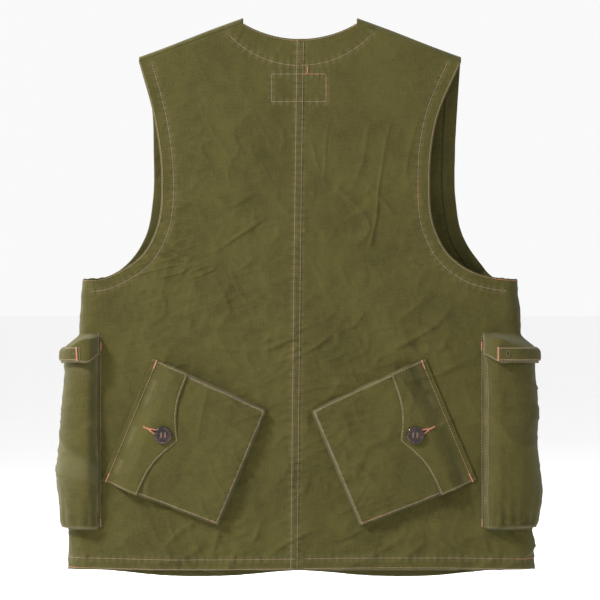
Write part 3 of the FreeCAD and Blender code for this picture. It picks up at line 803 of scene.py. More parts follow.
def front_hem(count):
    """Lower edge from the opening to the side fold: it sags between them, and its corner is rounded."""
    edge = [(-LAP, FRONT_MIDDLE), (20.0, FRONT_MIDDLE - 2), (80.0, FRONT_HEM), (150.0, FRONT_HEM)]
    edge = edge + [(225.0, -634.0), (half_round(HEM) / 2, -631.0)]
    return spread(smooth(edge, 80), count)


def front_edge(side, count):
    """The armhole's front half and the side fold, as distance from the centre front and height."""
    line = armhole(side, 1)
    fold = side_edge(UNDERARM, -631.0, 60)
    return spread(join_lines(line, fold), count)


FRONT_LINES = {}
for name, side in SIDES.items():
    v_line = neck_v(200)
    above = v_line[:, 1] > V_NECK
    v_edge = inset(v_line[above], EDGE_STITCH)
    v_facing = inset(v_line[above], 12.0)
    hem = inset(front_hem(60), HEM_WIDTH)
    arm = inset(armhole(side, 1), -FACING_WIDTH)
    arm = arm[arm[:, 0] < 240][2:]
    strip = np.array([(PLACKET_INNER - EDGE_STITCH, z) for z in (V_NECK - 4, FRONT_MIDDLE + 12)])
    FRONT_LINES[name] = [v_facing, hem, arm, strip] if side < 0 else [v_facing, hem, arm]
print("V facing starts", v_facing[0], "hem line", hem[0], hem[-1])


def front_skin(name):
    """Surface of a front, as a function of distance from the centre front, height and lift."""
    side = SIDES[name]

    def skin(x, z, lift=0.0):
        """Point at distance x from the centre front, height z and lift."""
        s = front(x, z, side)
        groove, _ = dressing(x, z, FRONT_LINES[name])
        under = -1.25 * (1 - step(x, 18, 40)) if side > 0 else 0.25 * (1 - step(x, 18, 40))
        sag = 0.3 * np.sin(np.asarray(x) / 24.0) * (1 - step(x, 120, 160))
        return around(s, z, lift + body_drape(s, z) + groove + under + sag)
    return skin


def doorway(obj):
    """Bakes a front piece's placement into its mesh."""
    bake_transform(obj)


# %% Fronts
FRONT_ROWS, FRONT_COLUMNS = 300, 140
for name, side in SIDES.items():
    top = spread(SHOULDER, FRONT_COLUMNS)
    flat = coons(top, front_hem(FRONT_COLUMNS), neck_v(FRONT_ROWS), front_edge(side, FRONT_ROWS))
    _, wear = dressing(flat[..., 0], flat[..., 1], FRONT_LINES[name])
    edge = np.arange(FRONT_COLUMNS) * 1.6
    wear = np.maximum(wear, np.exp(-edge / 1.3)[None] * 0.8)
    arm = np.exp(-edge[::-1] / 1.3)[None] * step(flat[:, -1:, 1], UNDERARM - 8, UNDERARM + 4)
    wear = np.maximum(wear, arm)
    points = front_skin(name)(flat[..., 0], flat[..., 1])
    piece = cloth(f"front_cloth_{name}", points, flat, wear)
    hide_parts(f"front_panel_{name}", f"front_edge_{name}")
    declare(flat)
    doorway(piece)

# %% [markdown]
# ## Shoulders
# Above the shoulders the cloth of the back rolls over to meet the fronts. On a real vest a folded seam lies
# there, and hanging rounds it.
# A flat strip would look like a box's lid, so this one's middle is arched, and its edges start from the same
# points as the pieces they join.

# %% Shoulder strips
for name, side in SIDES.items():
    length = 66
    run = spread(SHOULDER, length)
    back_row = back_skin(name)(run[:, 0] * side, run[:, 1])
    front_row = front_skin(name)(run[:, 0], run[:, 1])
    t = np.linspace(0, 1, 19)[:, None, None]
    eased = 0.5 - 0.5 * np.cos(np.pi * t)
    arch = np.zeros((19, length, 3))
    arch[..., 2] = 6.5 * np.sin(np.pi * t[..., 0]) ** 0.75
    outwards = np.sin(np.pi * t[..., 0]) * 0.8 * np.sin(np.linspace(0, 6, length))[None]
    points = back_row[None] * (1 - eased) + front_row[None] * eased + arch
    points[..., 2] += outwards * 0.5
    across = np.linspace(0, 32, 19)[:, None]
    flat = flat_grid(run[None, :, 0] * side, -across)
    below = np.array([side * 126.0, 0.0, -60.0])
    strip = cloth(f"shoulder_roll_{name}", points, flat, reference=below)
    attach(strip, "vest")
    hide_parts(f"shoulder_seam_{name}")
    declare(flat)

# %% [markdown]
# ## Facings
# Raw edges are hidden by strips of cloth sewn inside: round the armholes, along the neck, up the fronts and
# behind the hems. They show through the armholes and the neck.
# They could be left out, as most are hidden, but then the edges would be one cloth thick. Each facing keeps to
# the lift just inside the cloth that it backs.

# %% Inside layers
FACING_LIFT = -1.15
INSIDE_THICK = 0.7


def inside_piece(name, points, flat, nodes, body="vest", finish=None, wear=None):
    """A facing: a thin sheet inside the body, with the CAD nodes that it stands for."""
    piece = cloth(name, points, flat, wear, thick=INSIDE_THICK, material=finish or INSIDE)
    if nodes:
        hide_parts(*nodes)
    declare(flat)
    if body:
        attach(piece, body)
    return piece


def behind_back(flat, lift, lines=()):
    """Points inside the back for a flat grid, at a lift, in the grooves of the sewn lines given."""
    s, z = flat[..., 0], flat[..., 1]
    return around(s, z, lift + body_drape(s, z) + dressing(s, z, lines)[0])


# %% Armhole facings
for name, side in SIDES.items():
    behind = armhole(side, -1)[1:]
    before = armhole(side, 1)[1:]
    behind_in = inset(armhole(side, -1), -FACING_WIDTH - 1)[1:]
    before_in = inset(armhole(side, 1), -FACING_WIDTH - 1)[1:]
    rows = []
    for share in np.linspace(0.02, 1, 9):
        a = behind + share * (behind_in - behind)
        b = before + share * (before_in - before)
        b[:, 0] = half_round(b[:, 1]) - b[:, 0]
        line = join_lines(a[:-1], np.array([(half_round(UNDERARM) / 2, a[-1, 1])]), b[:-1][::-1])
        rows.append(spread(line, 230))
    flat = np.stack(rows)
    s = flat[..., 0] * side
    over, z = half_round(flat[..., 1]) / 2 < flat[..., 0], flat[..., 1]
    grooves = np.where(over, dressing(half_round(z) - flat[..., 0], z, FRONT_LINES[name])[0],
                       dressing(s, z, back_lines[name])[0])
    points = around(s, z, FACING_LIFT + body_drape(s, z) + grooves)
    inside_piece(f"armhole_band_{name}", points, flat, [f"armhole_facing_{name}"])

# %% Neck, hem and centre facings
u = np.linspace(-86, 86, 100)
top = np.where(np.abs(u) < NECK_HALF, back_neck(u) - 0.4, -(np.abs(u) - NECK_HALF) * 0.375 - 0.4)
low = FACING_RADIUS - FACING_DROP - np.sqrt(FACING_RADIUS ** 2 - u ** 2) - 1.2
v = np.linspace(0, 1, 22)[:, None]
flat = flat_grid(u[None], top * (1 - v) + np.minimum(low, top - 3) * v)
points = behind_back(flat, FACING_LIFT, back_lines["right"])
inside_piece("neck_band", points, flat, ["back_neck_facing"])

u = np.linspace(-1, 1, 240)[None] * (half_round(HEM) / 2 - 1)
v = HEM + 0.5 + np.linspace(0, HEM_WIDTH + 1, 8)[:, None]
flat = flat_grid(u, v)
points = behind_back(flat, FACING_LIFT, back_lines["right"])
inside_piece("hem_band", points, flat, ["back_hem_facing"])

tape_z = np.linspace(-52, HEM + 16, 200)[:, None]
u = np.linspace(-5.3, 5.3, 8)[None]
flat = flat_grid(u + centre_seam(tape_z), tape_z)
points = behind_back(flat, FACING_LIFT - 0.1)
inside_piece("seam_band", points, flat, ["centre_back_tape"])

for name, side in SIDES.items():
    lower = front_hem(120)
    keep = lower[:, 0] > (16 if side > 0 else -LAP + 1)
    lower = spread(lower[keep], 120) + [0, 0.4]
    v = np.linspace(0, HEM_WIDTH + 1, 8)[:, None, None]
    flat = lower[None] + v * np.array([0, 1.0])
    depth = FACING_LIFT - (1.0 if side > 0 else 0.0) * (1 - step(flat[..., 0], 14, 30))
    points = front_skin(name)(flat[..., 0], flat[..., 1], depth)
    piece = inside_piece(
        f"front_hem_band_{name}", points, flat, [f"front_hem_facing_{name}"],
        body=None)
    doorway(piece)

    edge = neck_v(300)
    edge = edge[edge[:, 1] > V_NECK + 8]
    edge = spread(edge, 110)
    u = np.linspace(0.5, 13, 8)[None, :, None]
    normal = (inset(edge, 1.0) - edge)[:, None]
    flat = edge[:, None] + u * normal
    points = front_skin(name)(flat[..., 0], flat[..., 1], FACING_LIFT)
    piece = inside_piece(f"front_neck_band_{name}", points, flat, [], body=None)
    doorway(piece)

# %% [markdown]
# ## Label and hanging loop
# A woven label is sewn inside the back, under the neck, and a loop of folded cloth above it hangs the vest on a
# hook. Neither bears any words here.
# The loop is a strip whose middle stands off the facing, so that a hook can pass behind it.

# %% Label and loop
u = np.linspace(-29, 29, 40)[None]
v = np.linspace(-90, -62, 20)[:, None]
flat = flat_grid(u, v)
points = behind_back(flat, -1.3)
label = inside_piece("woven_label", points, flat, ["neck_label"], finish=TAPE)

u = np.linspace(-30, 30, 60)[None]
v = np.linspace(-5.2, 5.2, 9)[:, None]
flat = flat_grid(u, v)
stand = 5.2 * np.clip(1 - (u / 26) ** 2, 0, 1) ** 0.6 + 0.25 * np.sin(u / 7)
height = -30.5 + v - 1.2 * np.clip(1 - (u / 26) ** 2, 0, 1)
points = around(*np.broadcast_arrays(u, height), FACING_LIFT - 1.6 - stand + body_drape(u, height))
inside_piece("hanging_strap", points, flat, ["hanger_loop"])

# %% [markdown]
# ## Placket and button stand
# The left front's edge is folded double into a placket with the buttonholes, and the right front's edge is
# backed by a stand that carries the buttons.
# A buttonhole drawn on the cloth would hide nothing, so the placket has true slits: the cells along each are
# left out of the mesh. Threads laid side by side bind the slit's edges.

# %% Placket with slits
FRONT_BUTTONS = [-225.0 - 88.0 * k for k in range(5)]
SLIT_HALF = 0.55
SLIT_ENDS = [-11.0, 9.5]                # from the centre front


def with_lines(values, extra):
    """Grid positions with some more of them added, sorted, and none closer than a quarter millimetre."""
    values = np.sort(np.concatenate([values, extra]))
    must = np.isin(values, extra)
    kept = [values[0]]
    for value, needed in zip(values[1:], must[1:]):
        if value - kept[-1] > 0.25:
            kept.append(value)
        elif needed:
            kept[-1] = value
    return np.array(kept)


edges = [z + d for z in FRONT_BUTTONS for d in (-SLIT_HALF, SLIT_HALF)]
v = with_lines(np.arange(-632.5, -204, 2.0), edges)[::-1]
u = with_lines(np.linspace(-LAP + 0.2, PLACKET_INNER, 22), SLIT_ENDS)
grid_u, grid_v = np.meshgrid(u, v)
middle_v = (grid_v[:-1, :-1] + grid_v[1:, 1:]) / 2
middle_u = (grid_u[:-1, :-1] + grid_u[1:, 1:]) / 2
slit = np.zeros(middle_v.shape, bool)
for z in FRONT_BUTTONS:
    slit |= (np.abs(middle_v - z) < SLIT_HALF) & (middle_u > SLIT_ENDS[0]) & (middle_u < SLIT_ENDS[1])
PLACKET_LIFT = 0.75
edge_gap = np.minimum(grid_u + LAP, PLACKET_INNER - grid_u)
ripple = 0.22 * np.sin(grid_v / 9 + 2 * noise(grid_v / 30, 0.5, 77))
puff = 0.5 * step(edge_gap, 0, 4) + ripple * step(edge_gap, 1, 6)
left_skin = front_skin("left")
points = left_skin(grid_u, grid_v, PLACKET_LIFT + puff - 0.35)
flat = np.stack([grid_u, grid_v], -1)
wear = 0.75 * np.exp(-edge_gap / 1.1) + 0.2 * np.exp(-((edge_gap - 3) / 1.6) ** 2)
placket = cloth("placket_cloth", points, flat, np.clip(wear, 0, 1), thick=0.7, keep=~slit)
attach(placket, "front_left")
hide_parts("front_placket")
declare(flat)

# %% Button stand
u = np.linspace(-LAP + 0.6, LAP, 16)[None]
v = np.linspace(-206, -631, 210)[:, None]
flat = flat_grid(u, v)
points = front_skin("right")(flat[..., 0], flat[..., 1], FACING_LIFT)
inside_piece("stand_cloth", points, flat, ["button_stand"], body="front_right")

# %% Stitches of the fronts
for name, side in SIDES.items():
    skin = front_skin(name)
    fixed, door = Thread(), Thread()
    arm = inset(armhole(side, 1), -EDGE_STITCH)[1:]
    fixed.run(skin, arm)
    fixed.run(skin, FRONT_LINES[name][2])
    hem = FRONT_LINES[name][1]
    outer, inner = hem[hem[:, 0] > FOLD + 9], hem[hem[:, 0] < FOLD - 9]
    fixed.run(skin, outer)
    fixed.run(skin, outer - [0, HEM_WIDTH - EDGE_STITCH])
    door.run(skin, inner)
    door.run(skin, inner - [0, HEM_WIDTH - EDGE_STITCH])
    v_line = FRONT_LINES[name][0]
    v_line = v_line[v_line[:, 0] < FOLD - 9]
    door.run(skin, v_line)
    outline = inset(neck_v(260), EDGE_STITCH)
    outline = outline[(outline[:, 0] < FOLD - 9) & (outline[:, 1] > V_NECK + 2)]
    door.run(skin, outline)
    if side < 0:
        def placket_skin(x, z, lift=0.0):
            """The placket's own surface, for its stitches."""
            return left_skin(x, z, PLACKET_LIFT + 0.15 + lift)
        for x in (-LAP + EDGE_STITCH, PLACKET_INNER - EDGE_STITCH):
            door.run(placket_skin, np.array([(x, V_NECK - 7), (x, FRONT_MIDDLE + 3)]))
        for z in FRONT_BUTTONS:
            for d in (-1.5, 1.5):
                door.satin(placket_skin, np.array([(-12.0, z + d), (10.5, z + d)]), 1.9, tint=0.1, lift=0.3)
            for x in (-12.2, 10.7):
                door.satin(placket_skin, np.array([(x, z - 2.2), (x, z + 2.2)]), 1.8, tint=0.1, lift=0.4)
    fixed.build(f"front_topstitching_{name}", "vest")
    door.build(f"door_topstitching_{name}", f"front_{name}")

# %% [markdown]
# ## Patch pockets
# Each back pocket is a bellows pocket set aslant, so that a hand can reach into it from the front. Its cloth
# stands off the vest, its three sewn sides tuck under, and its mouth stays open beneath the flap.
# A plain box would have hard corners. Here the sides of the grid follow a small rounded profile, and the face
# swells and creases like an empty pocket.

# %% Pocket maker
WALL_OUT = np.array([-2.4, -1.0, -0.1, 0.3, 0.1, 0.9, 2.2])
WALL_UP = np.array([0.03, 0.10, 0.32, 0.62, 0.86, 0.97, 1.0])
MOUTH = 10.0                            # from the flap's seam to the pocket's free edge
POUCH_STAND = 8.6


def walled(size, count, both=True):
    """Positions across a pocket and the share of its height there: a rounded wall at one end or at both."""
    end = size / 2
    inner = np.linspace(-end + WALL_OUT[-1] + 1.6, end - WALL_OUT[-1] - 1.6, count)
    low, high = -end + WALL_OUT, end - WALL_OUT[::-1]
    rise = np.ones(count)
    if both:
        return np.concatenate([low, inner, high]), np.concatenate([WALL_UP, rise, WALL_UP[::-1]])
    return np.concatenate([inner, high]), np.concatenate([rise, WALL_UP[::-1]])


def unrolled(positions, rise, stand):
    """The same positions with the walls laid flat, centred on the middle of the cut."""
    steps = np.hypot(np.diff(positions), np.diff(rise) * stand)
    run = np.concatenate([[0], np.cumsum(steps)])
    return run - run[-1] / 2


def placed(origin, along, down, u, v):
    """Plane points of a pocket: a distance u along its top and v down from it."""
    return origin[0] + u * along[0] + v * down[0], origin[1] + u * along[1] + v * down[1]


def pocket(name, origin, along, down, width, depth, plane, stand, seed, nodes):
    """A bellows pocket on the body. plane turns two coordinates and a lift into points."""
    def spot(a, b):
        """Where a point of the pocket lies on the body: the pocket narrows a little towards its foot."""
        far = np.clip((b - MOUTH) / (depth - MOUTH), 0, 1)
        across = a * (1 - 0.06 * far) + 0.5 * noise(a / 24, b / 24, seed + 7)
        return placed(origin, along, down, across, b - 2.5 * far)

    def face(a, b):
        """Height of the pocket's face over its own coordinates: swell, creases, pulled edges, slack mouth."""
        far = np.clip((b - MOUTH) / (depth - MOUTH), 0, 1)
        loose = step(b, 58, 80)
        gap = np.minimum(width / 2 - np.abs(a), depth - b)
        swell = 1.2 * np.sin(np.pi * np.clip(a / width + 0.5, 0, 1)) * np.sin(np.pi * far) ** 0.8
        folds = 1.9 * creases(a, b, 0.9, 60, 19, seed) + 1.6 * creases(a, b, -0.6, 70, 22, seed + 1)
        folds = folds * (0.25 + 0.75 * loose) + 1.1 * noise(a / 26, b / 30, seed + 2) * (0.4 + 0.6 * loose)
        pull = 0.9 * np.sin(2 * np.pi * (a + b) / 11 + 4 * noise(a / 30, b / 30, seed + 3))
        pull = pull * np.exp(-(np.clip(gap, 0, 99) / 7) ** 2) * (0.3 + 0.7 * step(far, 0.5, 1.0))
        mouth = (1.6 - stand) * (1 - step(b, 4, 30)) - 0.6 * (1 - step(b, 26, 44))
        return stand + swell + folds + pull + mouth + 0.5 * crumple(a, b, seed + 4)

    def sewn_face(a, b, lift=0.0):
        """The face in its sewn groove, for its stitches."""
        return plane(*spot(a, b), 0.35 + face(a, b) - 0.5 + lift)

    u, rise_u = walled(width, int(width / 2.1))
    v, rise_v = walled(depth - MOUTH, int(depth / 2.1), both=False)
    v = v + (depth + MOUTH) / 2
    grid_u, grid_v = np.meshgrid(u, v)
    share = rise_u[None] * rise_v[:, None]
    gap = np.minimum(width / 2 - np.abs(grid_u), depth - grid_v)
    seam = -0.4 * np.exp(-((gap - 1.5) / 1.5) ** 2)
    points = plane(*spot(grid_u, grid_v), 0.35 + share * (face(grid_u, grid_v) + seam))
    flat_u, flat_v = unrolled(u, rise_u, stand), unrolled(v, rise_v, stand)
    flat = np.stack(np.meshgrid(flat_u, -flat_v), -1)
    wear = 0.95 * np.exp(-((gap - 0.6) / 1.4) ** 2) * (0.6 + 0.4 * noise(grid_u / 9, grid_v / 9, seed + 5))
    wear = np.maximum(wear, 0.7 * np.exp(-((grid_v - MOUTH) / 1.5) ** 2))
    behind = plane(*placed(origin, along, down, 0.0, depth / 2), -60.0)
    piece = cloth(name, points, flat, np.clip(wear, 0, 1) * (share > 0.3), thick=0.8, reference=behind)
    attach(piece, "vest")
    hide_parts(*nodes)
    declare(flat)

    sewn = Thread()
    reach = width / 2 - 1.5
    corner = [(-reach, MOUTH + 1), (-reach, depth - 1.5), (reach, depth - 1.5), (reach, MOUTH + 1)]
    for a, b in zip(corner[:-1], corner[1:]):
        sewn.run(sewn_face, np.array([a, b]))
    sewn.build(f"{name}_stitches", "vest")


# %% [markdown]
# ## Pocket flaps
# A flap is two cloths turned right side out and stitched near the edge. It is sewn above the mouth, and
# buttons at its point, so the buttonhole is a slit with bound edges.

# %% Flap maker
FLAP_SIDE = 41.5
FLAP_TIP = 61.0
BUTTON_DOWN = 42.5
FLAP_TOP = 11.6
FLAP_RISE = (3.0, 29.0)
SEAM_DOWN = 2.3


def flap_depth(u, half):
    """How far a flap reaches down at u: shallow at its sides, hollow between, and pointed at the middle."""
    share = 1 - np.clip(np.abs(u) / half, 0, 1)
    point = (FLAP_TIP - FLAP_SIDE) * (0.22 * share + 0.78 * share ** 2.6)
    return FLAP_SIDE + point - 1.6 * np.sin(np.pi * share) ** 2


def flap(kind, name, origin, along, down, half, plane, seed):
    """A flap with its slit, stitches and bound buttonhole. Its topstitching rides on the flap's own body."""
    body = f"{kind}_flap_{name}"
    slit_from, slit_to = 26.5, BUTTON_DOWN + 2

    def edge_gap(a, b):
        """Distance to the flap's edge."""
        return np.minimum(half + 0.6 - np.abs(a), flap_depth(a, half) - b)

    def skin(a, b, lift=0.0):
        """The flap's surface: it rises past the seam, with folds and puckers, quiet beside the button."""
        gap = edge_gap(a, b)
        rise = step(b, *FLAP_RISE)
        quiet = np.exp(-((a / 15) ** 2 + ((b - BUTTON_DOWN) / 15) ** 2))
        fold = 0.8 * noise(a / 30, b / 26, seed) + 0.9 * creases(a, b, 0.4, 50, 17, seed + 1)
        pucker = 0.3 * np.sin(2 * np.pi * (a + b) / 9 + 3 * noise(a / 20, b / 20, seed + 2))
        pucker = pucker * np.exp(-(np.clip(gap, 0, 99) / 6) ** 2)
        limp = fold + pucker + 0.35 * np.sin(a / 17 + seed) + 0.5 * crumple(a, b, seed + 3)
        limp = limp * (1 - 0.85 * quiet) - 0.4 * np.exp(-((gap - 1.7) / 1.5) ** 2)
        height = 0.9 + (FLAP_TOP - 0.9) * rise - 0.5 * step(b, 20, 60)
        return plane(*placed(origin, along, down, a, b), height + limp * rise * 0.75 + lift)

    def ground(a, b, lift=0.0):
        """The body's surface at the flap's corners, for the bar tacks."""
        return plane(*placed(origin, along, down, a, b), 0.9 + lift)

    u = with_lines(np.linspace(-half - 0.6, half + 0.6, 92), [-SLIT_HALF, SLIT_HALF])
    t = np.concatenate([np.linspace(-3.2, 8, 12), np.linspace(9.7, 100, 42)])
    grid_u, grid_t = np.meshgrid(u, t)
    grid_v = np.where(grid_t <= 8, grid_t, 8 + (grid_t - 8) / 92 * (flap_depth(grid_u, half) - 8))
    points = skin(grid_u, grid_v)
    middle_u = (grid_u[:-1, :-1] + grid_u[1:, 1:]) / 2
    middle_v = (grid_v[:-1, :-1] + grid_v[1:, 1:]) / 2
    keep = ~((np.abs(middle_u) < SLIT_HALF) & (middle_v > slit_from) & (middle_v < slit_to))
    flat = np.stack([grid_u, -grid_v], -1)
    gap = edge_gap(grid_u, grid_v)
    wear = np.exp(-((gap - 0.3) / 1.3) ** 2) * (0.65 + 0.35 * noise(grid_u / 8, grid_v / 8, seed + 5))
    rubbed = step(noise(grid_u / 10, 1.0, seed + 6), -0.4, 0.5)
    wear = np.maximum(wear, 0.35 * np.exp(-((grid_v - 9.5) / 3) ** 2) * rubbed)
    behind = plane(*placed(origin, along, down, 0.0, 30.0), -60.0)
    piece = cloth(
        f"{kind}_flap_cloth_{name}", points, flat, np.clip(wear, 0, 1), thick=1.1, keep=keep, reference=behind)
    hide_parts(body, f"{kind}_flap_root_{name}")
    declare(flat)
    start, end = [plane(*placed(origin, along, down, 0.0, v), 10.5) for v in (4.2, 25.0)]
    bend = ("vest", body, tuple(start * MM), tuple(end * MM))
    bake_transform(piece)

    fixed, swinging, bends = Thread(), Thread(), Thread()
    fixed.run(skin, np.array([(-half, SEAM_DOWN), (half, SEAM_DOWN)]), lift=0.15)
    for end_u in (-half, half):
        tack = [(end_u + 0.8 * np.sign(end_u), SEAM_DOWN - 0.3), (end_u * (1 - 9.5 / half), SEAM_DOWN)]
        fixed.satin(ground, tack, 2.0, lift=0.5)
    edge_u = np.linspace(-half + 1.3, half - 1.3, 90)
    swinging.run(skin, np.stack([edge_u, flap_depth(edge_u, half) - 1.6], -1))
    for side in (-1, 1):
        edge = side * (half - 1.2)
        swinging.run(skin, np.array([(edge, 26.0), (edge, flap_depth(half, half) - 1.6)]))
        bends.run(skin, np.array([(edge, 3.5), (edge, 25.5)]))
    swinging.satin(skin, np.array([(0.0, slit_from - 8.5), (0.0, slit_from + 0.5)]), 2.3)
    for d in (-1, 1):
        lip = [(0.6 * d, slit_from - 0.5), (1.5 * d, slit_from + 3), (2.3 * d, slit_from + 7)]
        lip = lip + [(1.6 * d, slit_to)]
        swinging.satin(skin, smooth(lip, 40), 1.9)
    fixed.build(f"{kind}_flap_seam_{name}", "vest")
    swinging.build(f"{kind}_flap_topstitching_{name}", body)
    bends.build(f"{kind}_flap_edge_stitches_{name}", None, between=bend)
    return piece


# %% Back pockets and flaps
def back_plane(x, z, lift):
    """Points over the back: x is taken as the distance round, and drape and lift are added."""
    radius = section(z)[3]
    s = radius * np.arcsin(np.clip(x / radius, -1, 1))
    return around(s, z, lift + body_drape(s, z) + 1.2 * 0.55)


BACK_TOP, BACK_FOOT = (154.5, -389.0), (212.7, -527.2)      # ends of the flap's seam
BACK_WIDTH, BACK_DEPTH = 150.0, 142.0
BACK_SHIFT = -12.4
for name, side in SIDES.items():
    top = np.array([side * BACK_TOP[0] + BACK_SHIFT, BACK_TOP[1]])
    bottom = np.array([side * BACK_FOOT[0] + BACK_SHIFT, BACK_FOOT[1]])
    along = (bottom - top) / np.linalg.norm(bottom - top)
    down = np.array([along[1] * side, -along[0] * side])
    origin = (top + bottom) / 2
    pocket(
        f"back_pouch_{name}", origin, along, down, BACK_WIDTH, BACK_DEPTH, back_plane, POUCH_STAND,
        200 + side * 20, [f"back_pocket_{name}"])
    made = flap(
        "back", name, origin, along, down, BACK_WIDTH / 2, back_plane, 300 + side * 20)
    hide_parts(f"back_bar_tacks_{name}")


# %% Chest pockets and flaps
def chest_plane(side):
    """Points over a front: x is the distance from the middle, on that side."""
    def plane(x, z, lift):
        """Point at x, height z and lift, with the body's drape."""
        q = np.abs(x)
        radius = section(z)[3]
        s = front(radius * np.arcsin(np.clip(q / radius, -1, 1)), z, side)
        return around(s, z, lift + body_drape(s, z) + 1.2 * 0.55)
    return plane


CHEST_SPOT = (128.0, -256.0)            # middle of the flap's seam
CHEST_WIDTH, CHEST_DEPTH = 102.0, 128.0
CHEST_FLAP_HALF = 52.0
for name, side in SIDES.items():
    origin = (side * CHEST_SPOT[0], CHEST_SPOT[1])
    pocket(
        f"chest_pouch_{name}", origin, (1.0, 0.0), (0.0, -1.0), CHEST_WIDTH, CHEST_DEPTH, chest_plane(side),
        POUCH_STAND, 400 + side * 20, [f"chest_pocket_{name}"])
    made = flap(
        "chest", name, origin, (1.0, 0.0), (0.0, -1.0), CHEST_FLAP_HALF, chest_plane(side),
        500 + side * 20)
    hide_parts(f"chest_bar_tacks_{name}")

# %% [markdown]
# ## Side pockets
# A cargo pocket wraps round each side, from the back onto the front. It is a deep bag of cloth, gathered at its
# lower corners, whose flap buttons under a short strap.
# Its grid is laid out in distance round the body and height, so it wraps by itself, and its lift makes it deep.

# %% Side pocket sizes
SIDE_TOP = -371.0
SIDE_BOTTOM = -582.0
SIDE_HINGE = -361.0
SIDE_STAND = 16.0
SIDE_FLAP_LIFT = 22.0
SIDE_REAR = {"left": 232.0, "right": 212.0}
SIDE_FRONT = {"left": 18.0, "right": 6.0}
SIDE_FLAP_END = -16.0
SIDE_RISE = {"left": 13.0, "right": 19.0}
SIDE_ROW = 2.6                          # from the pocket's rear edge to the row that holds it
SIDE_BUTTON = {"left": (257.0, -381.0), "right": (238.0, -381.0)}


def round_to(z, lift, test):
    """The first distance round the body, at a height and lift, whose point passes a test."""
    s = np.linspace(150, half_round(z), 3000)
    return s[np.argmax(test(around(s, np.full_like(s, z), lift)))]


def laid_flat(points):
    """A flat cut for a grid: the mean run along its rows, and each column's own run down."""
    across = np.linalg.norm(np.diff(points, axis=1), axis=-1).mean(axis=0)
    down = np.linalg.norm(np.diff(points, axis=0), axis=-1)
    run_u = np.concatenate([[0], np.cumsum(across)])
    run_v = np.concatenate([np.zeros((1, points.shape[1])), np.cumsum(down, axis=0)])
    return np.stack([np.broadcast_to(run_u, run_v.shape), -run_v], -1)


def side_plane(side):
    """Points round one side: the first coordinate is the distance round from the centre back."""
    def plane(s, z, lift):
        """Point at distance s round, height z and lift, with some of the body's drape."""
        q = np.abs(s)
        return around(side * q, z, lift + 0.6 * body_drape(side * q, z))
    return plane


